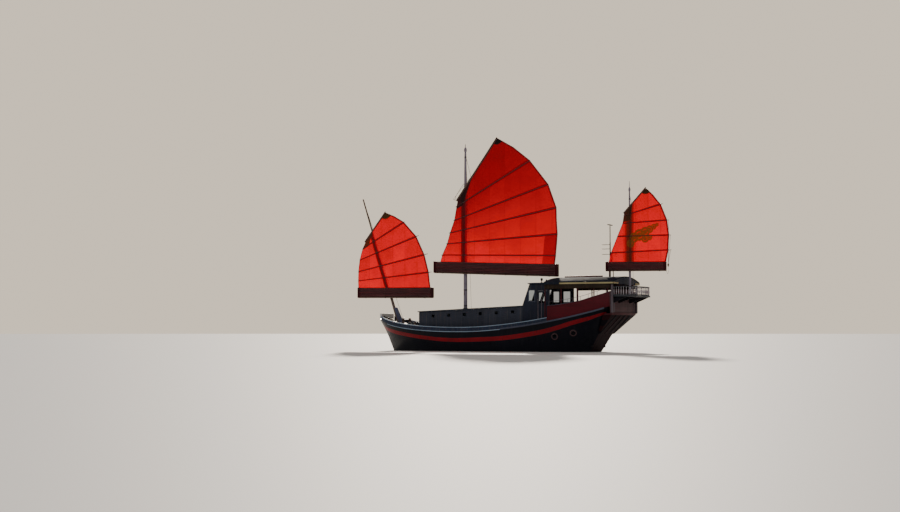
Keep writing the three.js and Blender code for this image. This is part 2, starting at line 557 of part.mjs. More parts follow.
sailSet('main', {
  y: 320, bundleY: 300, rib: 30, collar: [6330, 12149], yard: [[4180, 11380], [700, 15995]], yardR: [80, 50],
  leech: [[724, 15963], [-700, 15150], [-2055, 14099], [-3564, 12257], [-4225, 10514], [-4310, 8564], [-4162, 6981], [-4070, 6335]],
  luff: [[5624, 6745], [5438, 7289], [5005, 8132], [4758, 8947], [4380, 9887], [4178, 10907], [4110, 11440]],
  battens: [[5470, 7289, -4190, 7010], [5040, 8132, -4340, 8570], [4790, 8947, -4260, 10514],
    [4410, 9887, -3600, 12257], [4200, 10907, -2090, 14099]],
  bundle: [[6150, 6110], [6150, 6794], [-4336, 6350], [-4336, 5570]],
}, '#c0202c');
sailSet('fore', {
  y: 265, bundleY: 240, rib: 24, collar: [4500, 9190], yard: [[12560, 8500], [10655, 10825]], yardR: [60, 40],
  leech: [[10677, 10795], [9850, 10430], [8952, 9939], [7821, 8790], [7089, 7365], [6702, 5996], [6540, 4775]],
  luff: [[13150, 4855], [13174, 5447], [13158, 6165], [13038, 7094], [12767, 7955], [12540, 8500]],
  battens: [[13190, 5447, 6680, 5996], [13175, 6165, 7060, 7365], [13050, 7094, 7790, 8790], [12780, 7955, 8920, 9939]],
  bundle: [[13172, 4190], [13172, 4885], [6307, 4800], [6307, 4080]],
}, '#c9343a');
sailSet('mizzen', {
  y: 205, bundleY: 180, rib: 23, collar: [6130, 10286], yard: [[-9490, 9890], [-11200, 11670]], yardR: [48, 34],
  leech: [[-11180, 11648], [-11760, 11100], [-12300, 10414], [-12800, 9282], [-12940, 8224], [-12880, 7209], [-12690, 6300]],
  luff: [[-8330, 6402], [-8500, 7076], [-9020, 8257], [-9430, 9176], [-9520, 9715], [-9545, 9920]],
  battens: [[-8480, 7076, -13120, 7180], [-9000, 8257, -13090, 8224], [-9410, 9176, -12850, 9282], [-9500, 9715, -12330, 10414]],
  bundle: [[-8110, 5900], [-8110, 6434], [-12700, 6326], [-12700, 5800]],
}, '#b81f2a');

// Foremast tabernacle: two cheeks would hide the mast, so one stepped block stands abaft it
add('fore_mast_step', cut(slab([[9050, 1900], [9420, 1900], [9900, 3300], [9760, 3340]], -130, 130),
  hullTool, deckTool, mastBlank(MASTS.fore, GAP)), '#9db3cf');

// Steering: rudder on the keel's shoe, and the helm wheel that follows it
const RUDDER_X = -6700;
const bladeOutline = [[-6610, -1640], [-7640, -1640], [-7740, -1150], [-7560, -560], [-6610, -620]];
const stock = rod([RUDDER_X, 0, SHOE_Z + GAP], [RUDDER_X, 0, -180], 62, 62, 16);
// The top of the rudder keeps below the hull's bottom through its whole swing
const hullTurned = (degrees) => moved(hullSolid, -RUDDER_X, 0, -8).rotateZ(THREE.MathUtils.degToRad(degrees))
  .translate(RUDDER_X, 0, 0);
const swept = [-36, -27, -18, -9, 0, 9, 18, 27, 36].map(hullTurned);
add('rudder', cut(join(slab(bladeOutline, -42, 42), stock), ...swept), '#3a2b2b');
const HELM_X = -2980;
const HELM_Z = 3230;
add('helm_pedestal', join(box(HELM_X - 420, HELM_X - 240, -160, 160, SOLE_TOP + GAP, HELM_Z + 80),
  rod([HELM_X - 330, 0, HELM_Z], [HELM_X - 485 + GAP, 0, HELM_Z], 40, 40, 12)), '#5b3b26');
const helmX = HELM_X - 530;
const wheel = [new THREE.TorusGeometry(300, 22, 8, 28).rotateY(Math.PI / 2).translate(helmX, 0, HELM_Z),
  rod([helmX - 45, 0, HELM_Z], [helmX + 45, 0, HELM_Z], 55, 55, 16)];
for (let k = 0; k < 8; k += 1) {
  const a = (k / 8) * 2 * Math.PI + 0.2;
  wheel.push(rod([helmX, 0, HELM_Z], [helmX, Math.cos(a) * 400, HELM_Z + Math.sin(a) * 400], 15, 15, 8));
}
add('helm_wheel', join(...wheel), '#6b4426');

// Screw with its shaft
const SCREW_Z = -1120;
const screw = [rod([-5560 - GAP, 0, SCREW_Z], [-6320, 0, SCREW_Z], 38, 38, 12),
  rod([-5990, 0, SCREW_Z], [-6230, 0, SCREW_Z], 85, 60, 16)];
for (let k = 0; k < 4; k += 1) {
  const blade = new THREE.BoxGeometry(34, 190, 330).rotateZ(0).translate(0, 0, 215);
  blade.applyMatrix4(new THREE.Matrix4().makeRotationZ(0.6));
  blade.applyMatrix4(new THREE.Matrix4().makeRotationX((k * Math.PI) / 2 + 0.3));
  screw.push(blade.translate(-6110, 0, SCREW_Z));
}
add('propeller', join(...screw), '#a8873f');

// Foredeck hatch with a hinged lid
const foreHatchZ = edgeAt(8400).z + CAMBER + DECK_T;
const coaming = cut(box(7750, 8550, -400, 400, 1700, foreHatchZ + 190), box(7810, 8490, -340, 340, 1000, 3000), hullTool, deckTool);
add('hatch_coaming', coaming, '#7f8da3');
add('fore_hatch', box(7740, 8560, -410, 410, foreHatchZ + 190 + GAP, foreHatchZ + 230), '#8d9db5');

// Gallows under the mizzen boom, and the aerial pole on the canopy
const crownAt = (x, y) => EAVE_Z + 200 + (CROWN_Z - EAVE_Z - 200) * (1 - (y / canopyHalf(x)) ** 2);
const gallows = join(box(-8475, -8425, -330, -280, 5352, 5860), box(-8475, -8425, 380, 430, 5352, 5860),
  box(-8475, -8425, -330, 430, 5810, 5860));
const canopyTool = moved(canopy, 0, 0, GAP);
add('boom_gallows', cut(gallows, canopyTool), '#5a4038');
const aerialX = -7900;
const aerialY = -1000;
const aerial = join(rod([aerialX, aerialY, 5295], [aerialX, aerialY, 9250], 34, 22, 10),
  box(aerialX - 20, aerialX + 20, aerialY - 420, aerialY + 420, 9150, 9190));
add('aerial_pole', cut(aerial, canopyTool), '#6f7480');

export default root;
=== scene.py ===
# %% [markdown]
# # A three-masted chinese junk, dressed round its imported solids
# The solids of the vessel come in as a fixed frame, in metres: X runs forward, Y to port, Z up, and the water
# lies at Z = 0. Each cell below takes one piece or one finish of the real vessel. Nothing in the frame is moved.
# Where a solid has the right shape, a copy of it is merged, its edges are eased and it gets its paint. Where the
# real piece is finer, such as a sail or a turned baluster, a new piece is modelled and stands for the solid.

import json
import math
import random

import bpy
from mathutils import Matrix, Vector
from mathutils.bvhtree import BVHTree


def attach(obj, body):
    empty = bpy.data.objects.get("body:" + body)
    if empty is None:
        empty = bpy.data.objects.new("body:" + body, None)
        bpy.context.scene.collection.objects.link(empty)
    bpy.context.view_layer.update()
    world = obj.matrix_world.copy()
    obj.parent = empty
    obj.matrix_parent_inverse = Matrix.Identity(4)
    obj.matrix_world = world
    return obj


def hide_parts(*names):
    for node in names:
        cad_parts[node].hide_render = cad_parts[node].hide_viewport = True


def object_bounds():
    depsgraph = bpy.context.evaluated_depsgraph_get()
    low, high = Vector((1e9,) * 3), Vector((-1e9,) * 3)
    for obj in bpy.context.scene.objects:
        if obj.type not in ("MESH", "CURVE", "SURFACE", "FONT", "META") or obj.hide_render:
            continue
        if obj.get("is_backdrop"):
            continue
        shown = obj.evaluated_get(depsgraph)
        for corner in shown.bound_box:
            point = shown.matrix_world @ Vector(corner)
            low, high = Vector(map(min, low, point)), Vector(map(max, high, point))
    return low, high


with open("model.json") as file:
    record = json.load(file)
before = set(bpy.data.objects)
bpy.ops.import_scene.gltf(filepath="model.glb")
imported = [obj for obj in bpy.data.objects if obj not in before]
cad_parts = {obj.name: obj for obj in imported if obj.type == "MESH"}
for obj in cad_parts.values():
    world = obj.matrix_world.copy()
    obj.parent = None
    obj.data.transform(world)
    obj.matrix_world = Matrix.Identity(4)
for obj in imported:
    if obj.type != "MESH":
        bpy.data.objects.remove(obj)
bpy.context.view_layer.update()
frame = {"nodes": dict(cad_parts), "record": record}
slot_of = {part["node"]: part["material_slot"] for part in frame["record"]["subparts"]}
body_of = {node: body for body, nodes in frame["record"]["behaviour"]["bodies"].items() for node in nodes}
draw = random.Random(11)

# %% [markdown]
# The camera comes first. The photograph is taken from low over the water, 110 m off the port quarter, so the
# lens is long, and the camera looks a little upwards. A camera looks along its own -Z, so it is first stood
# upright by a quarter turn about X, and is then turned about Z to its heading.

# %% Camera on the port quarter
PHOTO_WIDTH, FOCAL_PIXELS, SENSOR = 900, 1475, 36
camera_data = bpy.data.cameras.new("quarter_view")
camera_data.sensor_width, camera_data.lens = SENSOR, SENSOR * FOCAL_PIXELS / PHOTO_WIDTH
camera_data.clip_start, camera_data.clip_end = 1, 2000
camera = bpy.data.objects.new("quarter_view", camera_data)
camera.location = (-51.642, 97.124, 1.5)
heading, pitch = math.radians(30.232), math.radians(2.911)
camera.rotation_euler = (math.pi / 2 + pitch, 0, math.pi + heading)
bpy.context.scene.collection.objects.link(camera)
bpy.context.scene.camera = camera
print("lens:", round(camera_data.lens, 1), "mm")

# %% [markdown]
# The vessel has no free cords: its sheets, halyards and lifts are all made fast at both ends, so nothing is
# coiled or trails outside the view. The floor is a wide pale plane at the height of the water, and the soft
# light is a pale sky with two broad suns: one behind the sails, so that the cloth glows, and one in front.

# %% Floor, sky and suns
bpy.ops.mesh.primitive_circle_add(vertices=96, radius=700, fill_type="NGON", location=(0, 0, 0))
floor = bpy.context.object
floor.name = "pale_floor"
floor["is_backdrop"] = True
floor_paint = bpy.data.materials.new("pale_floor")
floor_paint.use_nodes = True
matt = floor_paint.node_tree.nodes["Principled BSDF"].inputs
matt["Base Color"].default_value, matt["Roughness"].default_value = (0.72, 0.71, 0.7, 1), 0.7
floor.data.materials.append(floor_paint)

sky = bpy.data.worlds.new("soft_sky")
sky.use_nodes = True
air = sky.node_tree
glow = air.nodes["Background"]
glow.inputs["Color"].default_value, glow.inputs["Strength"].default_value = (0.95, 0.9, 0.84, 1), 0.4
seen = air.nodes.new("ShaderNodeBackground")
seen.inputs["Color"].default_value, seen.inputs["Strength"].default_value = (1.0, 0.86, 0.68, 1), 0.95
chosen = air.nodes.new("ShaderNodeMixShader")
for out, into in ((air.nodes.new("ShaderNodeLightPath").outputs["Is Camera Ray"], chosen.inputs[0]),
                  (glow.outputs[0], chosen.inputs[1]), (seen.outputs[0], chosen.inputs[2]),
                  (chosen.outputs[0], air.nodes["World Output"].inputs["Surface"])):
    air.links.new(out, into)
bpy.context.scene.world = sky


def sun(name, towards, strength, softness, colour):
    """A broad sun that shines along the given direction."""
    lamp = bpy.data.lights.new(name, "SUN")
    lamp.energy, lamp.angle, lamp.color = strength, math.radians(softness), colour
    lamp_object = bpy.data.objects.new(name, lamp)
    lamp_object.rotation_euler = Vector(towards).to_track_quat("-Z", "Y").to_euler()
    bpy.context.scene.collection.objects.link(lamp_object)


sun("behind_the_sails", (-0.46, 0.85, -0.36), 4.4, 4, (1.0, 0.9, 0.78))
sun("over_the_shoulder", (0.1, -0.9, -0.45), 0.4, 25, (0.92, 0.95, 1.0))

# %% [markdown]
# Before any paint, a few small tools of the trade. An edit-mode operator acts on all that is selected, so a piece is
# first made the only one selected, and then all of its mesh. Turning and sizing are always applied into the mesh,
# which leaves every finished piece at the origin, as the solids are.

# %% Selecting, applying and finishing
def alone(piece):
    """Makes one piece the only selected and the active one."""
    bpy.ops.object.select_all(action="DESELECT")
    piece.select_set(True)
    bpy.context.view_layer.objects.active = piece
    return piece


def apply_place(piece):
    """Takes a piece's turning, sizing and place into its mesh."""
    alone(piece)
    bpy.ops.object.transform_apply(location=True, rotation=True, scale=True)
    return piece


def modify(piece, kind, **settings):
    """Adds a modifier, sets it up and applies it."""
    alone(piece)
    modifier = piece.modifiers.new(kind.lower(), kind)
    for key, value in settings.items():
        setattr(modifier, key, value)
    bpy.ops.object.modifier_apply(modifier=modifier.name)
    return piece


def smooth(piece, degrees):
    """Shades a piece smooth, but for the edges that turn by more than so many degrees."""
    alone(piece)
    bpy.ops.object.shade_smooth_by_angle(angle=math.radians(degrees))
    return piece


def ease(piece, width, degrees=40):
    """Rounds the hard edges, as a plane and sandpaper do."""
    modify(piece, "BEVEL", width=width, segments=2, limit_method="ANGLE",
           angle_limit=math.radians(degrees), use_clamp_overlap=True)
    return smooth(piece, 30)


def worked(piece, *steps):
    """Opens a piece for editing and takes the steps (operator, settings) in turn, each with all of it selected."""
    alone(piece)
    bpy.ops.object.mode_set(mode="EDIT")
    for operator, settings in steps:
        bpy.ops.mesh.select_all(action="SELECT")
        operator(**settings)
    bpy.ops.object.mode_set(mode="OBJECT")
    return piece


def set_down(name, data):
    """A new piece with its mesh or curve, set down in the scene."""
    piece = bpy.data.objects.new(name, data)
    bpy.context.scene.collection.objects.link(piece)
    return piece


def joined(name, pieces):
    """Joins pieces into one."""
    bpy.ops.object.select_all(action="DESELECT")
    for piece in pieces:
        piece.select_set(True)
    bpy.context.view_layer.objects.active = pieces[0]
    if len(pieces) > 1:
        bpy.ops.object.join()
    bpy.context.object.name = name
    return bpy.context.object


def fit_out(piece, finish, body, slot, *nodes):
    """Paints a finished piece and hangs it on its body; it may stand for solids of the frame."""
    if not piece.data.materials:
        piece.data.materials.append(finish)
    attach(piece, body)
    if nodes:
        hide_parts(*nodes)
    return piece


def fixed(name, pieces, finish, slot, *nodes):
    """Joins pieces into one and fixes it to the vessel."""
    return fit_out(joined(name, pieces), finish, "vessel", slot, *nodes)


# %% [markdown]
# Four shapes of raw stock are used all over the vessel. A plank is a cube at its size with eased edges. A spar is a
# cylinder, tapered by moving its upper ring, and laid along the line between its two ends. A line is a curve with a
# round section, turned into a mesh, for ropes, wires and rods. A turned piece is a profile spun round its axis.

# %% Plank, spar and line
def plank(name, low, high, width=0.008):
    """A board between two corners."""
    bpy.ops.mesh.primitive_cube_add(size=1, location=[(a + b) / 2 for a, b in zip(low, high)])
    piece = bpy.context.object
    piece.name = name
    piece.scale = [b - a for a, b in zip(low, high)]
    apply_place(piece)
    return ease(piece, width) if width else piece


def stand(x, y, z=0.0, quarters=0, axis="Z"):
    """A place for a piece, as a matrix: quarter turns about an axis, and then the point."""
    return Matrix.Translation((x, y, z)) @ Matrix.Rotation(quarters * math.pi / 2, 4, axis)


def aim(point, direction, side="X"):
    """A place for a piece, as a matrix: at a point, with its Z axis along a direction."""
    return Matrix.Translation(point) @ direction.to_track_quat("Z", side).to_matrix().to_4x4()


def spar(name, start, end, thick, thin, sides):
    """A round spar or rod, thick at its start and thin at its end, with turned-down ends."""
    start, end = Vector(start), Vector(end)
    length = (end - start).length
    bpy.ops.mesh.primitive_cylinder_add(vertices=sides, radius=thick, depth=length, location=(0, 0, length / 2))
    piece = apply_place(bpy.context.object)
    piece.name = name
    for vertex in piece.data.vertices:
        if vertex.co.z > length / 2:
            vertex.co.x *= thin / thick
            vertex.co.y *= thin / thick
    ease(piece, min(thick, thin) / 4, 60)
    piece.data.transform(aim(start, end - start))
    return smooth(piece, 50)


def lines(name, runs, radius, sides=1):
    """Ropes, wires or rods through lists of points."""
    curve = bpy.data.curves.new(name, "CURVE")
    curve.dimensions, curve.twist_mode = "3D", "Z_UP"
    curve.bevel_depth, curve.bevel_resolution, curve.use_fill_caps = radius, sides, True
    for run in runs:
        spline = curve.splines.new("POLY")
        spline.points.add(len(run) - 1)
        for point, place in zip(spline.points, run):
            point.co = (*place, 1)
    alone(set_down(name, curve))
    bpy.ops.object.convert(target="MESH")
    return smooth(bpy.context.object, 60)


def turned(name, profile, sides, place=None):
    """Turns a profile of (radius, height) rows on a lathe, about Z, and stands it at its place."""
    mesh = bpy.data.meshes.new(name)
    mesh.from_pydata([(r, 0, z) for r, z in profile], [(i, i + 1) for i in range(len(profile) - 1)], [])
    piece = worked(set_down(name, mesh),
                   (bpy.ops.mesh.spin, dict(steps=sides, angle=2 * math.pi, center=(0, 0, 0), axis=(0, 0, 1))),
                   (bpy.ops.mesh.remove_doubles, dict(threshold=0.0004)),
                   (bpy.ops.mesh.normals_make_consistent, dict(inside=False)))
    if place:
        piece.data.transform(place)
    return smooth(piece, 40)


def copies(name, model, places):
    """Copies a model to many places, each copy with its own mesh, and joins them. A place is a matrix."""
    made = [set_down(name, model.data.copy()) for _ in places]
    for twin, place in zip(made, places):
        twin.data.transform(place)
    bpy.data.objects.remove(model)
    return joined(name, made)


def mirror_y(piece, name):
    """The starboard twin of a port piece."""
    twin = set_down(name, piece.data.copy())
    twin.data.transform(Matrix.Scale(-1, 4, (0, 1, 0)))
    twin.data.flip_normals()
    return twin


# %% [markdown]
# A coat of paint on a working boat is never one colour. Salt and rain leave upright streaks, the sun bleaches it in
# wide soft patches, and hands and ropes rub it through. These effects are shared by every paint, so they live in
# node groups: each puts out what it finds, such as a colour, a roughness or a height, and the shader itself stays
# in the material. A value that varies over the surface is a reading, and readings are reckoned with like numbers.

# %% A small hand for wiring nodes
class Reading:
    """A value that varies over a surface. A sum with it becomes a maths node."""

    def __init__(self, socket):
        self.socket = socket

    def __add__(self, other):
        return maths("ADD", self, other)

    def __sub__(self, other):
        return maths("SUBTRACT", self, other)

    def __rsub__(self, other):
        return maths("SUBTRACT", other, self)

    def __mul__(self, other):
        return maths("MULTIPLY", self, other)

    def __truediv__(self, other):
        return maths("DIVIDE", self, other)

    def __lt__(self, other):
        return maths("LESS_THAN", self, other)

    def __gt__(self, other):
        return maths("GREATER_THAN", self, other)

    def __abs__(self):
        return maths("ABSOLUTE", self)


class Outputs:
    """The outputs of a node, as readings."""

    def __init__(self, made):
        self.made = made

    def __getitem__(self, key):
        return Reading(self.made.outputs[key])


def wire(made, inputs):
    """Fills inputs of a node, each with a plain value or a reading."""
    for key, value in inputs.items():
        if isinstance(value, Reading):
            made.id_data.links.new(value.socket, made.inputs[key])
        else:
            made.inputs[key].default_value = value


def node(tree, kind, inputs=None, **settings):
    """Adds a shader node, sets it up, wires it and gives its outputs."""
    made = tree.nodes.new("ShaderNode" + kind)
    for key, value in settings.items():
        setattr(made, key, value)
    wire(made, inputs or {})
    return Outputs(made)


def tree_of(*values):
    """The tree in which the first reading of these is wired."""
    return next(value.socket.id_data for value in values if isinstance(value, Reading))


def maths(operation, *values):
    return node(tree_of(*values), "Math", dict(enumerate(values)), operation=operation)[0]


def blended(share, first, second, blend="MIX"):
    """Two colours mixed by a share."""
    return node(tree_of(share, first, second), "Mix", {0: share, 6: first, 7: second}, data_type="RGBA",
                blend_type=blend)[2]


def toned(colour, shade):
    """A colour made darker or lighter by a reading."""
    grey = node(tree_of(shade), "CombineColor", dict.fromkeys(("Red", "Green", "Blue"), shade))[0]
    return blended(1.0, colour, grey, "MULTIPLY")


def ramp(value, low, high, start=0.0, end=1.0):
    """A reading taken from one range to another, held at its ends."""
    return node(tree_of(value), "MapRange", {"Value": value, "From Min": low, "From Max": high,
                                             "To Min": start, "To Max": end}, clamp=True)[0]


def place_on(tree):
    """Where on the vessel a point lies, in metres."""
    return node(tree, "TexCoord")["Object"]


def axes_of(tree):
    """The same, axis by axis."""
    return node(tree, "SeparateXYZ", {0: place_on(tree)})


def noise(tree, scale, detail=2, stretch=None, **more):
    """Noise over the surface; a small stretch on an axis draws it out along that axis."""
    place = place_on(tree)
    if stretch:
        place = node(tree, "Mapping", {"Vector": place, "Scale": stretch})[0]
    return node(tree, "TexNoise", {"Vector": place, "Scale": scale, "Detail": detail, **more})[0]


def by_lot(x, y):
    """A random number for each cell of a grid."""
    tree = tree_of(x, y)
    return node(tree, "TexWhiteNoise", {"Vector": node(tree, "CombineXYZ", {"X": x, "Y": y})[0]},
                noise_dimensions="2D")[0]


def from_joint(place):
    """How far a place is from the nearer end of its unit."""
    within = maths("FRACT", place)
    return maths("MINIMUM", within, 1 - within)


def effect(name, inputs, outputs):
    """A new node group, as (tree, its inputs as readings, its output node). Of its outputs, Color is a colour."""
    tree = bpy.data.node_groups.new(name, "ShaderNodeTree")
    for label, value in inputs.items():
        kind = {3: "Vector", 4: "Color"}[len(value)] if isinstance(value, tuple) else "Float"
        socket = tree.interface.new_socket(name=label, in_out="INPUT", socket_type="NodeSocket" + kind)
        socket.default_value = value
    for label in outputs.split():
        kind = "Color" if label == "Color" else "Float"
        tree.interface.new_socket(name=label, in_out="OUTPUT", socket_type="NodeSocket" + kind)
    return tree, Outputs(tree.nodes.new("NodeGroupInput")), tree.nodes.new("NodeGroupOutput")


# %% Effect: weathered paint
weathered, given, gives = effect("weathered_paint", {
    "Paint": (0.5, 0.5, 0.5, 1), "Rubbed": (0.4, 0.3, 0.2, 1), "Streaks": 0.3, "Rubbing": 0.1, "Gloss": 0.45},
    "Color Roughness Height")
patches = noise(weathered, 0.9, 4)
streaks = noise(weathered, 1, 5, stretch=(7, 7, 0.5))
grit = noise(weathered, 60, 3)
rub = noise(weathered, 3.7, 9, Roughness=0.72)
streaked = blended(ramp(streaks, 0.5, 0.72) * given["Streaks"], given["Paint"],
                   blended(0.55, given["Paint"], given["Rubbed"]))
bare = rub > 0.78 - given["Rubbing"]
wire(gives, {
    "Color": blended(bare, toned(streaked, ramp(patches, 0.3, 0.7, 0.82, 1.15)), given["Rubbed"]),
    "Roughness": given["Gloss"] + (ramp(streaks, 0.3, 0.8, -0.06, 0.16) + bare * 0.25),
    "Height": grit * 0.15 - bare})

# %% [markdown]
# Planking is the second shared effect. It takes a place across and along the boards in metres, and gives back
# where the seams are, a tone for each board and a height. Each row of boards starts at its own random point, so
# that the butts don't line up, as a shipwright would lay them.

# %% Effect: boards with seams
boards, given, gives = effect("laid_boards", {
    "Across": 0.0, "Along": 0.0, "Width": 0.12, "Length": 3.0, "Gap": 0.006}, "Seam Tone Height")
row_at = given["Across"] / given["Width"]
row = maths("FLOOR", row_at)
shift = node(boards, "TexWhiteNoise", {"W": row}, noise_dimensions="1D")[0]
butt_at = given["Along"] / given["Length"] + shift
nearest = maths("MINIMUM", from_joint(row_at) * given["Width"], from_joint(butt_at) * given["Length"])
wire(gives, {"Seam": nearest < given["Gap"], "Tone": by_lot(row, maths("FLOOR", butt_at)),
             "Height": ramp(nearest, 0.0, 0.015)})

# %% Effect: wood grain
grain, given, gives = effect("wood_grain", {
    "Vector": (0, 0, 0), "Light": (0.5, 0.35, 0.2, 1), "Dark": (0.2, 0.1, 0.05, 1), "Scale": 9.0}, "Color Height")
fibres = node(grain, "TexNoise", {"Vector": given["Vector"], "Scale": given["Scale"], "Detail": 6,
                                  "Roughness": 0.6, "Distortion": 0.4})[0]
wire(gives, {"Color": blended(ramp(fibres, 0.3, 0.7), given["Dark"], given["Light"]), "Height": fibres})
print("effects:", [group.name for group in bpy.data.node_groups])

# %% [markdown]
# Now the coats themselves. One function makes every painted board of the vessel. It asks which way the boards
# run, darkens the seams, gives each board its own tone, and lays the weathered paint over them. The seams and the
# worn spots also go into the bump, so that a low light finds them.

# %% Painted boards
def shader_of(name):
    """A new finish, as (material, tree, shader)."""
    material = bpy.data.materials.new(name)
    material.use_nodes = True
    return material, material.node_tree, material.node_tree.nodes["Principled BSDF"]


def raise_surface(tree, shader, height, distance, strength=0.6):
    wire(shader, {"Normal": node(tree, "Bump", {"Height": height, "Strength": strength, "Distance": distance})[0]})


def board_seams(tree, run, width, length, gap=0.004):
    """Seams on boards. run names the axes across and along them, such as 'ZX'."""
    axes = axes_of(tree)
    return node(tree, "Group", {"Across": axes[run[0]], "Along": axes[run[1]], "Width": width, "Length": length,
                                "Gap": gap}, node_tree=boards)


def weathered_coat(tree, colour, rubbed, streaks, rubbing, gloss):
    return node(tree, "Group", {"Paint": colour, "Rubbed": (*rubbed, 1), "Streaks": streaks, "Rubbing": rubbing,
                                "Gloss": gloss}, node_tree=weathered)


def paint(name, colour, rubbed=(0.2, 0.17, 0.13), gloss=0.42, streaks=0.35, rubbing=0.04, run=None,
          width=0.14, length=4.0, shine=0.15):
    """Oil paint on wood. run names the axes across and along the boards, where they show."""
    material, tree, shader = shader_of(name)
    coat = weathered_coat(tree, (*colour, 1), rubbed, streaks, rubbing, gloss)
    colour_out, height, distance = coat["Color"], coat["Height"], 0.002
    if run:
        seams = board_seams(tree, run, width, length)
        colour_out = toned(colour_out, ramp(seams["Tone"], 0, 1, 0.86, 1.1))
        colour_out = blended(seams["Seam"] * 0.75, colour_out, (0.01, 0.01, 0.012, 1))
        height, distance = seams["Height"] + height * 0.2, 0.006
    wire(shader, {"Specular IOR Level": shine, "Base Color": colour_out, "Roughness": coat["Roughness"]})
    raise_surface(tree, shader, height, distance)
    return material


bulwark_blue = paint("bulwark_blue", (0.018, 0.028, 0.06), run="ZX", width=0.12, length=5)
rail_blue = paint("rail_light_blue", (0.25, 0.33, 0.43), (0.4, 0.41, 0.42), gloss=0.65, rubbing=0.07, shine=0.03)
rail_grey = paint("rail_grey_blue", (0.07, 0.078, 0.115), (0.13, 0.12, 0.12), rubbing=0.07)
cabin_grey = paint("cabin_grey_blue", (0.034, 0.039, 0.06), run="XZ", width=0.15, length=9)
cabin_end_grey = paint("cabin_end_grey_blue", (0.034, 0.039, 0.06), run="YZ", width=0.15, length=9)
house_blue = paint("wheelhouse_dark_blue", (0.013, 0.017, 0.034), run="XZ", width=0.2, length=9)
house_front_blue = paint("wheelhouse_front_blue", (0.013, 0.017, 0.034), run="YZ", width=0.2, length=9)
house_roof_blue = paint("wheelhouse_roof_blue", (0.035, 0.042, 0.07), streaks=0.5, gloss=0.85, shine=0.03)
poop_maroon = paint("poop_maroon", (0.085, 0.004, 0.010), (0.05, 0.012, 0.016), run="ZX", width=0.17, length=4)
trim_maroon = paint("trim_maroon", (0.065, 0.009, 0.015), (0.1, 0.06, 0.05), rubbing=0.06)
transom_mauve = paint("transom_mauve", (0.082, 0.045, 0.050), (0.05, 0.03, 0.03), run="ZY", width=0.19, length=3.2,
                      gloss=0.6, streaks=0.5)
post_pale = paint("post_pale", (0.115, 0.095, 0.115), (0.12, 0.1, 0.09), streaks=0.45, rubbing=0.08)
gallery_grey = paint("gallery_grey", (0.04, 0.044, 0.052), (0.1, 0.095, 0.09), streaks=0.45, rubbing=0.1)
deck_white = paint("deck_white", (0.55, 0.55, 0.53), (0.4, 0.36, 0.3), gloss=0.5, rubbing=0.05)
canopy_blue = paint("canopy_blue_grey", (0.018, 0.022, 0.034), (0.05, 0.05, 0.055), streaks=0.5, run="YX", width=0.5,
                    length=12, gloss=0.85, shine=0.03)
awning_olive = paint("awning_olive", (0.14, 0.135, 0.035), (0.2, 0.18, 0.08), run="XY", width=0.09, length=9)
cream = paint("stripe_cream", (0.4, 0.34, 0.17), (0.25, 0.2, 0.1), streaks=0.2, rubbing=0.02)
roof_paint = paint("roof_deck_paint", (0.06, 0.072, 0.095), (0.12, 0.115, 0.11), gloss=0.85, rubbing=0.12, shine=0.03)
mast_blue = paint("mast_grey_blue", (0.22, 0.195, 0.245), (0.2, 0.16, 0.14), gloss=0.4, rubbing=0.06)
step_blue = paint("mast_step_blue", (0.085, 0.092, 0.155), (0.2, 0.19, 0.2), rubbing=0.06)
black_iron = paint("black_iron", (0.014, 0.014, 0.016), (0.16, 0.07, 0.035), gloss=0.45, rubbing=0.07)
engine_green = paint("engine_green", (0.05, 0.11, 0.08), (0.12, 0.1, 0.08), gloss=0.4, rubbing=0.1)

# %% [markdown]
# Bare wood gets its grain from the third effect, stretched along the piece. The decks are teak boards caulked
# with black seams and bleached silver by the sun; spars, yards and the wheel are oiled darker wood.

# %% Decks, spars and joinery
def timber(name, light, dark, stretch, gloss, run=None, width=0.11):
    """Oiled or bare wood. stretch is the grain's scale on each axis: small along the fibres."""
    material, tree, shader = shader_of(name)
    fibre = node(tree, "Group", {"Vector": node(tree, "Mapping", {"Vector": place_on(tree), "Scale": stretch})[0],
                                 "Light": (*light, 1), "Dark": (*dark, 1), "Scale": 6.0}, node_tree=grain)
    colour, height, distance = fibre["Color"], fibre["Height"], 0.0015
    if run:
        seams = board_seams(tree, run, width, 3.5, 0.005)
        colour = toned(colour, ramp(seams["Tone"], 0, 1, 0.7, 1.2))
        colour = blended(seams["Seam"], colour, (0.012, 0.011, 0.01, 1))
        height, distance = seams["Height"] + height * 0.3, 0.004
    wire(shader, {"Base Color": colour,
                  "Roughness": ramp(noise(tree, 1.3, 4), 0.35, 0.7, gloss - 0.08, gloss + 0.18)})
    raise_surface(tree, shader, height, distance)
    return material


deck_teak = timber("deck_teak", (0.34, 0.25, 0.17), (0.19, 0.13, 0.085), (0.6, 8, 8), 0.6, run="YX")
sole_teak = timber("saloon_teak", (0.27, 0.17, 0.095), (0.13, 0.075, 0.04), (0.6, 8, 8), 0.42, run="YX", width=0.09)
spar_brown = timber("spar_brown", (0.115, 0.06, 0.04), (0.045, 0.024, 0.02), (7, 7, 0.5), 0.42)
batten_red = timber("batten_dark_red", (0.1, 0.010, 0.014), (0.045, 0.005, 0.010), (0.5, 9, 9), 0.5)
joinery = timber("joinery_mahogany", (0.2, 0.075, 0.03), (0.075, 0.024, 0.012), (5, 5, 1), 0.25)

# %% [markdown]
# The topsides are black, with one broad red stripe that rises with the sheer to both ends, and red anti-fouling
# below the water. The stripe isn't level, so it can't be read off Z alone. A number kept on each vertex, its
# height over the stripe's middle line, makes the paint follow the hull whichever way it curves.

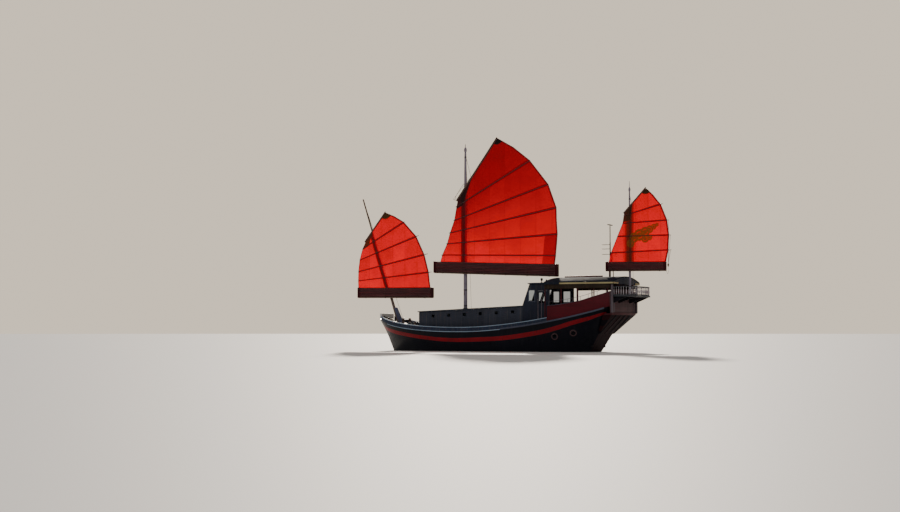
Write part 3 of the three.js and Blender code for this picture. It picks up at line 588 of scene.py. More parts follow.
# %% Hull paint and the stern boards
STRIPE = ((-9.2, 2.85), (-8.48, 2.66), (-7.86, 2.43), (-7.28, 2.28), (-6.23, 2.0), (-5.6, 1.8), (-4.15, 1.43),
          (-1.19, 1.0), (0.9, 0.89), (3.19, 0.84), (5.46, 0.98), (8.6, 1.38), (10.8, 1.86))
STRIPE_HALF = ((-9.2, 0.07), (-8.48, 0.09), (-7.28, 0.14), (-6.23, 0.155), (-4.15, 0.165), (0.9, 0.155), (4, 0.14),
               (10.8, 0.15))


def along(rows, x):
    """The value on a smooth line through rows of (x, value)."""
    rows = list(rows)
    i = max(0, min(len(rows) - 2, sum(1 for row in rows[1:-1] if row[0] < x)))
    (x1, a), (x2, b) = rows[i], rows[i + 1]
    before = rows[i - 1] if i else (2 * x1 - x2, 2 * a - b)
    after = rows[i + 2] if i + 2 < len(rows) else (2 * x2 - x1, 2 * b - a)
    t = min(max((x - x1) / (x2 - x1), 0), 1)
    slope_1 = (b - before[1]) / (x2 - before[0]) * (x2 - x1)
    slope_2 = (after[1] - a) / (after[0] - x1) * (x2 - x1)
    return ((2 * t ** 3 - 3 * t ** 2 + 1) * a + (t ** 3 - 2 * t ** 2 + t) * slope_1
            + (3 * t ** 2 - 2 * t ** 3) * b + (t ** 3 - t ** 2) * slope_2)


topsides, tree, shader = shader_of("hull_black_and_red")
over_stripe = node(tree, "Attribute", attribute_name="over_stripe")["Fac"]
axes = axes_of(tree)
wavering = (noise(tree, 2.2) - 0.5) * 0.1
on_stripe = abs(over_stripe + wavering) < 1.0
below_water = axes["Z"] + wavering < -0.04
colour = blended(on_stripe, (0.004, 0.0045, 0.009, 1), (0.22, 0.006, 0.012, 1))
colour = blended(below_water, colour, (0.13, 0.022, 0.016, 1))
coat = weathered_coat(tree, colour, (0.02, 0.02, 0.024), 0.45, 0.03, 0.33)
strakes = node(tree, "Group", {"Across": over_stripe, "Along": axes["X"], "Width": 1.0, "Length": 6.5,
                               "Gap": 0.02}, node_tree=boards)
wire(shader, {"Specular IOR Level": 0.12, "Roughness": coat["Roughness"],
              "Base Color": blended(strakes["Seam"] * 0.6, coat["Color"], (0.006, 0.006, 0.01, 1))})
raise_surface(tree, shader, strakes["Height"] + coat["Height"] * 0.2, 0.009)

stern_boards, tree, shader = shader_of("stern_maroon_and_black")
seams = board_seams(tree, "YZ", 0.235, 9, 0.006)
every_other = maths("FRACT", axes_of(tree)["Y"] / 0.47) < 0.5
coat = weathered_coat(tree, blended(every_other, (0.006, 0.004, 0.007, 1), (0.022, 0.005, 0.007, 1)),
                      (0.025, 0.016, 0.016), 0.7, 0.05, 0.65)
wire(shader, {"Specular IOR Level": 0.06, "Roughness": coat["Roughness"],
              "Base Color": blended(seams["Seam"], coat["Color"], (0.008, 0.005, 0.006, 1))})
raise_surface(tree, shader, seams["Height"], 0.008)

# %% [markdown]
# Bronze, glass and rope are plainer. The bronze has one metalness and two tones, with the roughness and the height
# from fine noise, as a cast screw shows. The glass is thin and only smeared, and the rope shows its strands.

# %% Bronze, glass and rope
bronze, tree, shader = shader_of("bronze")
spots, stain = noise(tree, 40, 5), noise(tree, 2.5, 5)
wire(shader, {"Metallic": 1.0, "Roughness": ramp(spots, 0.3, 0.7, 0.28, 0.48),
              "Base Color": blended(ramp(stain, 0.45, 0.7), (0.55, 0.36, 0.14, 1), (0.3025, 0.198, 0.077, 1))})
raise_surface(tree, shader, spots, 0.001, 0.4)

glass, tree, shader = shader_of("window_glass")
wire(shader, {"Base Color": (0.93, 0.96, 0.95, 1), "Transmission Weight": 1.0, "IOR": 1.1,
              "Roughness": ramp(noise(tree, 5), 0.4, 0.7, 0.01, 0.07)})

rope, tree, shader = shader_of("laid_rope")
strands = node(tree, "TexWave", {"Vector": place_on(tree), "Scale": 14, "Distortion": 1.5},
               bands_direction="DIAGONAL")[1]
wire(shader, {"Base Color": blended(strands, (0.1, 0.08, 0.055, 1), (0.25, 0.2, 0.14, 1)),
              "Roughness": ramp(strands, 0, 1, 0.95, 0.75)})
raise_surface(tree, shader, strands, 0.003)
print("finishes:", len(bpy.data.materials))

# %% [markdown]
# ## The solids, dressed
# A solid comes as loose triangles, each with its own three corners. A copy is merged so that its faces share
# their corners, flat neighbours are dissolved into one face, and a small bevel takes the sharpness off the
# edges. The copy then stands for its solid, and the solid itself is left exactly as it was.

# %% Dress a solid
def merged_copy(node_name, name=None, flat=True):
    """A merged copy of a solid's mesh, as a new piece."""
    piece = alone(set_down(name or node_name + "_dressed", frame["nodes"][node_name].data.copy()))
    piece.data.materials.clear()
    if piece.data.has_custom_normals:
        bpy.ops.mesh.customdata_custom_splitnormals_clear()
    worked(piece, (bpy.ops.mesh.remove_doubles, dict(threshold=0.0003)))
    if flat:
        worked(piece, (bpy.ops.mesh.dissolve_limited, dict(angle_limit=math.radians(0.6))))
    return piece


def dress(finish, nodes, width, degrees=35, facing=None):
    """Merges, eases and paints solids. facing = (axis, least, finish) gives faces that look that way a second coat."""
    for node_name in nodes.split():
        piece = merged_copy(node_name)
        if width:
            ease(piece, width, degrees)
        else:
            smooth(piece, degrees)
        if facing:
            axis, least, second = facing
            piece.data.materials.append(finish)
            piece.data.materials.append(second)
            for face in piece.data.polygons:
                if face.normal[axis] * math.copysign(1, least) > abs(least):
                    face.material_index = 1
        fit_out(piece, finish, body_of[node_name], slot_of[node_name], node_name)


hull = merged_copy("hull", flat=False)
over = hull.data.attributes.new("over_stripe", "FLOAT", "POINT")
over.data.foreach_set("value", [(v.co.z - along(STRIPE, v.co.x)) / along(STRIPE_HALF, v.co.x)
                                for v in hull.data.vertices])
hull.data.materials.append(topsides)
hull.data.materials.append(stern_boards)
for face in hull.data.polygons:
    if face.normal.x < -0.7 and face.center.x < -7 and face.center.z > -0.5:
        face.material_index = 1
smooth(hull, 28)
fit_out(hull, topsides, "vessel", "hull_paint", "hull")

dress(deck_teak, "main_deck", 0)
dress(sole_teak, "saloon_floor engine_hatch", 0.004)
dress(bulwark_blue, "bulwark_port bulwark_starboard", 0.006)
dress(rail_blue, "cap_rail_port cap_rail_starboard", 0.014, 40)
dress(rail_grey, "rub_rail_port rub_rail_starboard", 0.012, 40)
dress(deck_white, "bow_beam", 0.02)
dress(step_blue, "fore_mast_step", 0.02)
dress(gallery_grey, "hatch_coaming fore_hatch gallery_floor", 0.012)
dress(cabin_grey, "cabin_wall_port cabin_wall_starboard", 0.006)
dress(cabin_end_grey, "cabin_front", 0.008)
dress(roof_paint, "cabin_roof", 0.018)
dress(house_blue, "wheelhouse_port wheelhouse_starboard", 0.006)
dress(house_front_blue, "wheelhouse_front", 0.006)
dress(house_roof_blue, "wheelhouse_roof", 0.02)
dress(poop_maroon, "poop_bulwark_port poop_bulwark_starboard", 0.01)
dress(trim_maroon, "canopy_frame_port canopy_frame_starboard transom_shelf boom_gallows", 0.008)
dress(transom_mauve, "transom_board", 0.01)
dress(post_pale, "corner_post_port corner_post_starboard", 0.012)
dress(canopy_blue, "canopy_roof", 0.015, facing=(2, -0.5, awning_olive))
dress(joinery, "helm_pedestal", 0.012)
dress(black_iron, "keel rudder", 0.01)
dress(engine_green, "engine", 0.02)
dress(bronze, "propeller", 0)
dress(spar_brown, "fore_mast main_yard fore_yard mizzen_yard", 0)
dress(black_iron, "aerial_pole", 0)
dress(joinery, "helm_wheel", 0.004)

# %% [markdown]
# ## The three sails
# Each sail is one sheet of cloth laced to its yard and stiffened by battens. It could be a flat plate, but cloth
# between two battens fills into a shallow trough and creases from the batten ends, so it is laid out as a grid,
# panel by panel, and its points are pushed to leeward. The panels share the rows at the battens, which keeps it
# one continuous sheet. Its UV map counts metres from the leech and panels from the foot.

# %% The sail plans, as places in metres
SAILS = {
    "main": dict(
        y=0.32, belly=0.075, columns=84, rope=0.024, patch=0.5, throat=0.62, top=0.52, strip=1.3, mast=(3.6, 0.0, 0.15),
        shadow=(0.1, 0.006, 0.008, 1),
        old=(0.03, 0.018, 0.018, 1),
        rows=[((5.624, 6.745), (-4.070, 6.335)), ((5.438, 7.289), (-4.162, 6.981)), ((5.005, 8.132), (-4.310, 8.564)),
              ((4.758, 8.947), (-4.225, 10.514)), ((4.380, 9.887), (-3.564, 12.257)),
              ((4.178, 10.907), (-2.055, 14.099)), ((4.07, 11.40), (-1.378, 14.624)),
              ((2.55, 13.42), (-0.700, 15.150)), ((1.00, 15.48), (0.50, 15.83)), ((0.745, 15.82), (0.70, 15.93))],
        battens=[(5.47, 7.289, -4.19, 7.010), (5.04, 8.132, -4.34, 8.570), (4.79, 8.947, -4.26, 10.514),
                 (4.41, 9.887, -3.60, 12.257), (4.20, 10.907, -2.09, 14.099)],
        yard=((4.18, 11.38), (0.70, 15.995)), heel=0.35, batten=0.03, overhang=0.05,
        stack=((6.15, 6.794), (-4.336, 6.35), 0.88, 0.92), stack_depth=0.30, folds=7),
    "fore": dict(
        y=0.265, belly=0.055, columns=60, rope=0.02, patch=0.55, throat=0.45, top=0.9, strip=1.1,
        mast=(8.857, 0.341, 0.11),
        shadow=(0.12, 0.012, 0.008, 1),
        old=(0.13, 0.07, 0.02, 1),
        rows=[((13.15, 4.86), (6.54, 4.80)), ((13.174, 5.447), (6.702, 5.996)), ((13.158, 6.165), (7.089, 7.365)),
              ((13.038, 7.094), (7.821, 8.790)), ((12.767, 7.955), (8.952, 9.939)), ((12.50, 8.46), (9.40, 10.185)),
              ((11.70, 9.45), (9.85, 10.43)), ((10.93, 10.38), (10.55, 10.70)), ((10.72, 10.66), (10.67, 10.76))],
        battens=[(13.17, 5.447, 6.42, 6.018), (13.165, 6.165, 6.76, 7.425), (13.05, 7.094, 7.58, 8.866),
                 (12.78, 7.955, 8.86, 9.972)],
        yard=((12.56, 8.50), (10.655, 10.825)), heel=0.28, batten=0.024, overhang=0.0,
        stack=((13.172, 4.885), (6.307, 4.80), 0.8, 0.8), stack_depth=0.24, folds=6),
    "mizzen": dict(
        y=0.205, belly=0.045, columns=52, rope=0.018, patch=0.45, throat=0.7, top=0.9, strip=0.95,
        mast=(-9.93, 0.0, 0.26),
        shadow=(0.12, 0.055, 0.012, 1),
        old=(0.09, 0.05, 0.018, 1),
        rows=[((-8.33, 6.41), (-12.69, 6.34)), ((-8.50, 7.076), (-12.88, 7.178)), ((-9.02, 8.257), (-12.94, 8.224)),
              ((-9.43, 9.176), (-12.80, 9.282)), ((-9.52, 9.715), (-12.33, 10.414)), ((-9.57, 9.90), (-12.03, 10.757)),
              ((-10.30, 10.66), (-11.76, 11.10)), ((-10.95, 11.33), (-11.38, 11.46)),
              ((-11.15, 11.55), (-11.20, 11.60))],
        battens=[(-8.48, 7.076, -13.12, 7.18), (-9.00, 8.257, -13.09, 8.224), (-9.41, 9.176, -12.95, 9.285),
                 (-9.50, 9.715, -12.50, 10.457)],
        yard=((-9.49, 9.89), (-11.20, 11.67)), heel=0.12, batten=0.023, overhang=0.0,
        stack=((-8.11, 6.434), (-12.70, 6.326), 0.67, 0.64), stack_depth=0.18, folds=6),
}
print("cut rows:", {name: len(plan["rows"]) for name, plan in SAILS.items()})

# %% [markdown]
# Sailcloth lets the sun through, and that is why the sails glow red with the light behind them while the mast
# stays on them as a shadow. That shadow is also painted on the cloth, as a dark band along the mast's line. A
# plain shader only sends light back, so a translucent one is mixed with it. The doubled places, such as the seams,
# the tabling at the edges, the batten pockets and the corner patches, pass less light, so they are painted darker,
# as painted shade, and so is a band along the leech of the main's lowest panels. The cloth is also painted darker
# towards the upper panels.

# %% Effect: sailcloth, and the finish of each sail
weave, given, gives = effect("cloth_weave", {"Scale": 90.0}, "Height Mottle")
axes = axes_of(weave)
warp, weft = (maths("SINE", axes[way] * given["Scale"]) for way in "XZ")
wire(gives, {"Height": warp * weft, "Mottle": noise(weave, 1.1, 6, Roughness=0.6)})


def near(tree, x, z, reach, edge=0.06):
    """A mask round a point of the sail's plane, with a hard edge, such as a sewn patch has."""
    axes = axes_of(tree)
    away = maths("SQRT", maths("POWER", axes["X"] - x, 2) + maths("POWER", axes["Z"] - z, 2))
    return ramp(away, reach, reach + edge, 1.0, 0.0)


def along_yard(tree, heel, peak, reach):
    """A mask for a wedge that lies on the yard: as wide as its reach at the heel, gone at two fifths of the way."""
    run, rise = peak[0] - heel[0], peak[1] - heel[1]
    size = math.hypot(run, rise)
    axes = axes_of(tree)
    x, z = axes["X"] - heel[0], axes["Z"] - heel[1]
    way = x * (run / size) + z * (rise / size)
    off = abs(x * (rise / size) - z * (run / size))
    return ramp(off + maths("MAXIMUM", way * (2.5 / size), way * -0.9) * reach, reach, reach + 0.05, 1.0, 0.0)


def painted_mast_shadow(tree, foot, lean, half):
    """A soft mask over the line where the mast lies behind the cloth, where the mast's shadow is painted."""
    axes = axes_of(tree)
    return ramp(abs(axes["X"] - (axes["Z"] * lean + foot)), half * 0.6, half * 1.6, 1.0, 0.0)


# The mizzen carries a dull gold motif. A drifting cloud is a common one: puffs that join, each with a red curl.
PUFFS = ((-10.05, 7.72, 0.28), (-10.3, 8.12, 0.34), (-10.72, 8.3, 0.4), (-11.15, 8.5, 0.33), (-11.5, 8.68, 0.25),
         (-11.8, 8.85, 0.18), (-12.05, 8.98, 0.11), (-11.15, 8.02, 0.26), (-11.5, 8.08, 0.16))


def cloud_scroll(tree):
    """Puffs sewn to the cloth, each with a ring left open in it."""
    cover = None
    for x, z, reach in PUFFS:
        curl = near(tree, x, z, reach * 0.6, 0.02) - near(tree, x, z, reach * 0.45, 0.02)
        puff = near(tree, x, z, reach, 0.03) - curl * 0.8
        cover = puff if cover is None else maths("MAXIMUM", cover, puff)
    return cover * 0.85


def sailcloth(name, plan):
    """The finish of one sail: sewn strips of red cloth, darker where doubled as painted shade, with its patches and the
    mast's painted shadow over them.
    """
    material, tree, shader = shader_of(name)
    sewn = node(tree, "SeparateXYZ", {0: node(tree, "UVMap", uv_map="metres")[0]})
    across, panel = sewn[0], sewn[1]
    woven = node(tree, "Group", {"Scale": 90.0}, node_tree=weave)
    strips = axes_of(tree)["X"] / plan["strip"]
    tone = by_lot(maths("FLOOR", strips), maths("FLOOR", panel))
    # The cloth is painted darker towards the upper panels.
    upward_darkening = ramp(panel, 0.5, len(plan["battens"]) + 1, 1.0, plan["top"])
    shade = upward_darkening * ramp(tone, 0, 1, 0.955, 1.035) * ramp(woven["Mottle"], 0.3, 0.7, 0.93, 1.05)
    seam = maths("FRACT", strips) < 0.04 / plan["strip"]
    pocket, hem = from_joint(panel) < 0.05, across < 0.1
    thick = maths("MAXIMUM", maths("MAXIMUM", seam * 0.22, pocket * 0.8), hem * 0.8)
    # Painted shade on the main: a band along the leech of the two lowest panels is darkened like doubled cloth.
    wing = (across < plan["strip"] * 0.78) * (panel < 2.0) * (0.5 if "main" in name else 0.0)
    heel, peak = plan["yard"]
    patches = maths("MAXIMUM", near(tree, *peak, plan["patch"]), along_yard(tree, heel, peak, plan["throat"]) * 0.85)

    cloth = toned((0.9, 0.010, 0.045, 1), shade)
    cloth = blended(maths("MAXIMUM", thick, wing), cloth, (0.34, 0.006, 0.020, 1))
    # The mast's painted shadow: the cloth is darkened along the line of the mast.
    cloth = blended(painted_mast_shadow(tree, *plan["mast"]) * 0.75, cloth, plan["shadow"])
    if name == "mizzen_sailcloth":
        cloth = blended(cloud_scroll(tree), cloth, (0.3, 0.155, 0.026, 1))
    # The patches at the peak and along the yard are painted darker, as painted shade where doubled cloth passes less
    # light.
    cloth = blended(patches, cloth, plan["old"])
    bump = node(tree, "Bump", {"Height": woven["Height"] * 0.3 + thick, "Strength": 0.35, "Distance": 0.004})[0]
    wire(shader, {"Base Color": cloth, "Roughness": ramp(woven["Mottle"], 0.3, 0.7, 0.72, 0.9),
                  "Sheen Weight": 0.15, "Normal": bump})
    through = node(tree, "BsdfTranslucent", {"Color": cloth, "Normal": bump})[0]
    both = node(tree, "MixShader", {0: 0.68, 1: Outputs(shader)[0], 2: through})[0]
    wire(tree.nodes["Material Output"], {"Surface": both})
    return material


# %% Cut and fill the cloth
PANEL_ROWS = 9


def panel_rows(plan):
    """The rows of the grid from the foot up: (luff point, leech point, panel number, place in its panel)."""
    rows, hoisted = plan["rows"], len(plan["battens"]) + 1
    made = []
    for i in range(len(rows) - 1):
        steps = PANEL_ROWS if i < hoisted - 1 else 4
        top_panel = i >= hoisted - 1
        for k in range(steps + (i == len(rows) - 2)):
            t = k / steps
            luff = Vector(rows[i][0]).lerp(Vector(rows[i + 1][0]), t)
            leech = Vector(rows[i][1]).lerp(Vector(rows[i + 1][1]), t)
            share = (i - hoisted + 1 + t) / (len(rows) - hoisted) if top_panel else t
            made.append((luff, leech, min(i, hoisted - 1), min(share, 0.999)))
    return made


def cut_sail(name, plan):
    """One sail as a filled sheet, and the area of its cloth laid flat."""
    rows = panel_rows(plan)
    bpy.ops.mesh.primitive_grid_add(x_subdivisions=plan["columns"], y_subdivisions=len(rows) - 1, size=1)
    cloth = apply_place(bpy.context.object)
    cloth.name = name
    mesh = cloth.data
    mesh.uv_layers[0].name = "metres"
    metres = [None] * len(mesh.vertices)
    for vertex in mesh.vertices:
        u = vertex.co.x + 0.5
        luff, leech, panel, share = rows[round((vertex.co.y + 0.5) * (len(rows) - 1))]
        span = (leech - luff).length
        spot = luff.lerp(leech, u)
        fill = math.sin(math.pi * share) ** 0.8 * (0.35 + 0.65 * math.sin(math.pi * min(max(u, 0.02), 0.98)) ** 0.7)
        crease = math.exp(-min(u, 1 - u) * span * 0.9) * math.sin(share * math.pi * 6 + panel) * 0.010
        ripple = 0.005 * math.sin(spot.x * 5.1 + panel * 2.3 + share * 2) * math.sin(math.pi * share)
        depth = (plan["belly"] * fill + crease + ripple) * min(1.0, span / 4)
        vertex.co = (spot.x, plan["y"] + depth, spot.y)
        metres[vertex.index] = ((1 - u) * span, panel + share)
    for loop in mesh.loops:
        mesh.uv_layers["metres"].data[loop.index].uv = metres[loop.vertex_index]
    if mesh.polygons[0].normal.y < 0:
        mesh.flip_normals()
    modify(cloth, "SOLIDIFY", thickness=0.004, offset=0.0)
    return smooth(cloth, 60), sum(abs((d - a).x * (b - c).y - (d - a).y * (b - c).x) / 2
                                  for (a, b, _, _), (c, d, _, _) in zip(rows, rows[1:]))


cloths = {}
for name, plan in SAILS.items():
    cloth, area = cut_sail(name + "_sail_cloth", plan)
    fit_out(cloth, sailcloth(name + "_sailcloth", plan), name + "_sail_set", "sail_cloth", name + "_sail")
    edges = [(Vector(luff), Vector(leech)) for luff, leech in plan["rows"]]
    width = max((luff - leech).length for luff, leech in edges)
    height = max((edges[-1][1] - edges[0][1]).length, area / width * 1.05)
    cloths[name] = (cloth, width, height, area)
    print(name, "cloth", round(width, 2), "x", round(height, 2), "m, area", round(area, 1))

# %% [markdown]
# A boltrope is sewn all round the cloth and a batten lies across every row on the port face, held by short
# lashings. The rope is a line along the edge points of the grid. The battens are bamboo thick as a wrist: round
# bars, a little thinner towards the leech, with lashings as small turned sleeves that repeat along them.

# %% Boltropes, battens and lashings
LASHING_STEP = 1.15
for name, plan in SAILS.items():
    y, on_set = plan["y"], name + "_sail_set"
    luff, leech = ([(row[k][0], y, row[k][1]) for row in plan["rows"]] for k in (0, 1))
    edge = lines(name + "_boltrope", [luff[::-1] + leech], plan["rope"], 2)
    fit_out(edge, batten_red, on_set, "sail_cloth")
    bars, wraps, grip = [], [], plan["batten"]
    for number, (x0, z0, x1, z1) in enumerate(plan["battens"]):
        start, end = Vector((x0 + plan["overhang"], y + 0.02, z0)), Vector((x1, y + 0.02, z1))
        bars.append(spar(f"{name}_batten_{number}", start, end, grip, grip * 0.8, 10))
        count = max(3, int((end - start).length / LASHING_STEP))
        wraps += [aim(start.lerp(end, (k + 0.15) / (count + 0.3)), end - start) for k in range(count + 1)]
    bars = joined(name + "_battens", bars)
    fit_out(bars, batten_red, on_set, "spar_wood")
    sleeve = turned("lashing", [(grip + 0.002, -0.035), (grip + 0.011, -0.028), (grip + 0.013, -0.014),
                                (grip + 0.009, 0), (grip + 0.013, 0.014), (grip + 0.011, 0.028),
                                (grip + 0.002, 0.035)], 10)
    lashed = copies(name + "_batten_lashings", sleeve, wraps)
    fit_out(lashed, batten_red, on_set, "sail_cloth")
    cloth, width, height, area = cloths[name]
    name + "_yard"
    name + "_boom"
    print(name, "battens:", len(plan["battens"]), "lashings:", len(wraps))

# %% [markdown]
# Every sail is reefed by its lowest panels: their cloth lies folded between its battens on the boom, zigzag like
# a closed fan. One zigzag sheet, with rounded folds that bulge unevenly, is the truest way to show that. The
# battens of the lowered panels lie between the folds, and the boom under them. Rope gaskets bind the stack, and a
# strip of cloth is wrapped round each of its ends.

# %% Folded cloth on the booms
MAST_AT_BOOM = {"main": 3.6, "fore": 10.4, "mizzen": -9.87}
BULGES = 15
wrap_cloth = paint("wrap_cloth", (0.04, 0.006, 0.009), (0.08, 0.05, 0.04), shine=0.05)
stacked, tree, shader = shader_of("folded_sailcloth")
woven = node(tree, "Group", {"Scale": 90.0}, node_tree=weave)
wire(shader, {"Base Color": blended(ramp(noise(tree, 1.6, 5, stretch=(0.35, 3, 4)), 0.35, 0.7),
                                    (0.065, 0.004, 0.010, 1), (0.19, 0.012, 0.018, 1)),
              "Roughness": ramp(woven["Mottle"], 0.3, 0.7, 0.75, 0.95), "Sheen Weight": 0.2})
raise_surface(tree, shader, woven["Height"], 0.002, 0.4)


def folded_stack(name, plan):
    """The cloth of the lowered panels, zigzag from the top of the stack down to the boom."""
    (x0, z0), (x1, z1), h0, h1 = plan["stack"]
    half, folds = plan["stack_depth"] / 2, plan["folds"]
    bpy.ops.mesh.primitive_grid_add(x_subdivisions=56, y_subdivisions=folds * 12, size=1)
    piece = apply_place(bpy.context.object)
    piece.name = name
    bulges = [[draw.uniform(-0.012, 0.006) for _ in range(BULGES)] for _ in range(folds * 2 + 1)]
    for vertex in piece.data.vertices:
        u, t = vertex.co.x + 0.5, vertex.co.y + 0.5
        wave = math.sin(2 * math.pi * folds * t)
        bulge = bulges[min(int(2 * folds * t), 2 * folds)]
        k = int(u * (BULGES - 2))
        swell = bulge[k] + (bulge[min(k + 1, BULGES - 1)] - bulge[k]) * (u * (BULGES - 2) - k)
        out = (half - 0.03) * max(-1.0, min(1.0, 1.25 * wave)) + math.copysign(wave ** 2 * (0.018 + swell), wave)
        top, deep = z0 + (z1 - z0) * u, h0 + (h1 - h0) * u
        z = top + 0.018 - (deep - 0.085) * t - 0.006 * math.sin(9 * u * math.pi) * t
        vertex.co = (x0 + (x1 - x0) * u, plan["y"] + out, z)
    modify(piece, "SOLIDIFY", thickness=0.006, offset=0.0)
    return smooth(piece, 60)


def end_wrap(x, way, y, half, top, deep):
    """A strip of cloth wrapped round one end of the stack: way is 1 at the leech."""
    low, high = sorted((x - way * 0.015, x + way * 0.16))
    return plank("end_wrap", (low, y - half - 0.004, top - deep + 0.01), (high, y + half + 0.004, top), 0.02)


def cut_across(piece, planes, off=False):
    """Cuts a piece at planes, each a (point, direction). With off, what lies beyond a plane is taken off."""
    return worked(piece, *((bpy.ops.mesh.bisect, dict(plane_co=point, plane_no=direction, clear_outer=off,
                                                      use_fill=off)) for point, direction in planes))


for name, plan in SAILS.items():
    (x0, z0), (x1, z1), h0, h1 = plan["stack"]
    y, half, folds, body = plan["y"], plan["stack_depth"] / 2, plan["folds"], name + "_sail_set"
    stack = folded_stack(name + "_folded_cloth", plan)
    width, area = abs(x1 - x0), sum(face.area for face in stack.data.polygons) / 2
    fit_out(stack, stacked, body, "stacked_sail")
    boom = spar(name + "_boom_spar", (x0, y, z0 - h0 + 0.065), (x1, y, z1 - h1 + 0.065), 0.062, 0.05, 16)
    laid = []
    for k in range(folds):
        down = (k + 0.5) / folds
        for at_y in (y - half + 0.045, y + half - 0.045):
            laid.append(spar("laid_batten", (x0 - 0.01 * k, at_y, z0 - 0.02 - (h0 - 0.14) * down),
                             (x1 + 0.02 * (k % 3), at_y, z1 - 0.02 - (h1 - 0.14) * down), 0.019, 0.016, 8))
    wraps = joined(name + "_end_wraps", [end_wrap(x0, -1, y, half, z0 + 0.03, h0),
                                         end_wrap(x1, 1, y, half, z1 + 0.03, h1)])
    fit_out(wraps, wrap_cloth, body, "stacked_sail")
    laid = joined(name + "_laid_battens", laid)
    loops, count, reach = [], 6 if name == "main" else 4, half + 0.012
    for k in range(count):
        u = (k + 0.4) / (count - 0.2)
        x, top, deep = x0 + (x1 - x0) * u, z0 + (z1 - z0) * u, h0 + (h1 - h0) * u
        loops.append([(x, y - reach, top - 0.03), (x, y - reach, top - deep + 0.02), (x, y, top - deep - 0.004),
                      (x, y + reach, top - deep + 0.02), (x, y + reach, top - 0.03), (x, y, top + 0.006),
                      (x, y - reach, top - 0.03)])
    bound = lines(name + "_gaskets", loops, 0.011)
    middle = MAST_AT_BOOM[name]
    collar = cut_across(merged_copy(name + "_boom", name + "_boom_collar"), [
        ((0, y - half + 0.03, 0), (0, 1, 0)), ((middle + 0.26, 0, 0), (1, 0, 0)),
        ((middle - 0.26, 0, 0), (-1, 0, 0))], off=True)
    smooth(collar, 40)
    fit_out(boom, spar_brown, body, "spar_wood")
    fit_out(laid, batten_red, body, "spar_wood")
    fit_out(bound, rope, body, "stacked_sail")
    fit_out(collar, black_iron, body, "spar_wood")
    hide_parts(name + "_boom")
    area / width
    print(name, "folded", round(width, 2), "x", round(area / width, 2), "m")

# %% [markdown]
# ## The saloon canopy
# The roof of the saloon is boarded over arched ribs. Both its ends are closed by a board cut to the camber, a lath
# painted cream runs along each eave and turns the after corner, and a valance hangs under the eaves, its dark brown
# paint standing in for the shade there. A board that follows a curve is made as a workshop makes it: a straight one
# is cut across at its stations, and each station is then bent to its place.

# %% Bent boards
def bent_board(name, rows, thick, width=0.004):
    """A board bent along rows of (x, inner y, low, high), thick to port."""
    rows = sorted(rows)
    piece = plank(name, (0, -0.5, -0.5), (len(rows) - 1, 0.5, 0.5), 0)
    cut_across(piece, [((k, 0, 0), (1, 0, 0)) for k in range(1, len(rows) - 1)])
    for vertex in piece.data.vertices:
        x, y, low, high = rows[round(vertex.co.x)]
        vertex.co = (x, y + (thick if vertex.co.y > 0 else 0), high if vertex.co.z > 0 else low)
    return ease(piece, width)


def both_sides(name, piece):
    """A port piece and its starboard twin, joined."""
    return joined(name, [piece, mirror_y(piece, name + "_twin")])


# %% Canopy boards
EAVE, CROWN, CANOPY_FORE = 4.8, 5.39, -4.4
CAMBER = CROWN - EAVE - 0.21
LATH_LOW, LATH_HIGH = 4.825, 4.935


def canopy_half(x):
    """Half the width of the roof, which narrows aft."""
    return 2.81 + (x - CANOPY_FORE) * 0.087


def arched_board(name, x, thick):
    """A board across the vessel under the roof, its top cut to the camber."""
    half = canopy_half(x) - 0.075
    piece = plank(name, (x - thick / 2, -half, EAVE), (x + thick / 2, half, EAVE + 0.1), 0)
    cut_across(piece, [((0, half * k / 8, 0), (0, 1, 0)) for k in range(-7, 8)])
    for vertex in piece.data.vertices:
        if vertex.co.z > EAVE + 0.05:
            vertex.co.z = EAVE + 0.165 + CAMBER * (1 - (vertex.co.y / half) ** 2)
    return ease(piece, 0.004)


fixed("canopy_end_boards", [arched_board("after_end", -9.585, 0.03), arched_board("fore_end", -4.435, 0.03)],
      house_front_blue, "canopy_paint")
frame_rows = [(-9.24, 2.22), (-8.15, 2.441), (-6.95, 2.493), (-5.7, 2.602), (-4.39, 2.66)]
valance = bent_board("valance", [(x, along(frame_rows, x) + 0.03, 4.5, 4.79)
                                 for x in (-9.3, -8.7, -8.15, -7.55, -6.95, -6.3, -5.7, -5.05, -4.42)], 0.022)
# The valance is painted dark brown, as painted shade under the eaves.
valance_shade_brown = paint("valance_shade_brown", (0.028, 0.018, 0.012), (0.1, 0.08, 0.04), shine=0.1)
fit_out(both_sides("eave_valance", valance), valance_shade_brown, "vessel", "canopy_paint")
lath = bent_board("lath", [(x, canopy_half(x) + 0.002, LATH_LOW, LATH_HIGH)
                           for x in (-9.6, -8.5, -7.4, -6.3, -5.6)], 0.014)
corner = plank("corner_lath", (-9.634, 1.5, LATH_LOW), (-9.621, canopy_half(-9.6) - 0.01, LATH_HIGH), 0.003)
fit_out(both_sides("cream_lath", joined("cream_lath_port", [lath, corner])), cream, "vessel", "canopy_paint")
ridge = spar("awning_ridge_spar", (-4.75, 0, CROWN + 0.052), (-7.75, 0, CROWN + 0.05), 0.058, 0.05, 14)
fit_out(ridge, paint("ridge_spar_red", (0.09, 0.012, 0.012), (0.1, 0.06, 0.04)), "vessel", "canopy_paint")
ribs = []
for x in (-5.3, -6.3, -7.3, -8.3):
    half = canopy_half(x) - 0.07
    ribs.append(lines("rib", [[(x, half * k / 8, EAVE + 0.105 + CAMBER * (1 - (k / 8) ** 2)) for k in range(-8, 9)]],
                      0.028))
fixed("canopy_ribs", ribs, trim_maroon, "canopy_paint")

# %% [markdown]
# ## Wheelhouse joinery
# The windows of the wheelhouse are panes in painted frames. A frame and its pane start as one face on the plane of
# the wall: an inset face splits it in two, the outer ring is thickened into bars and the middle into glass. So
# a leaning window takes its lean from its four corners. The door is built of stiles, rails and a thin panel.

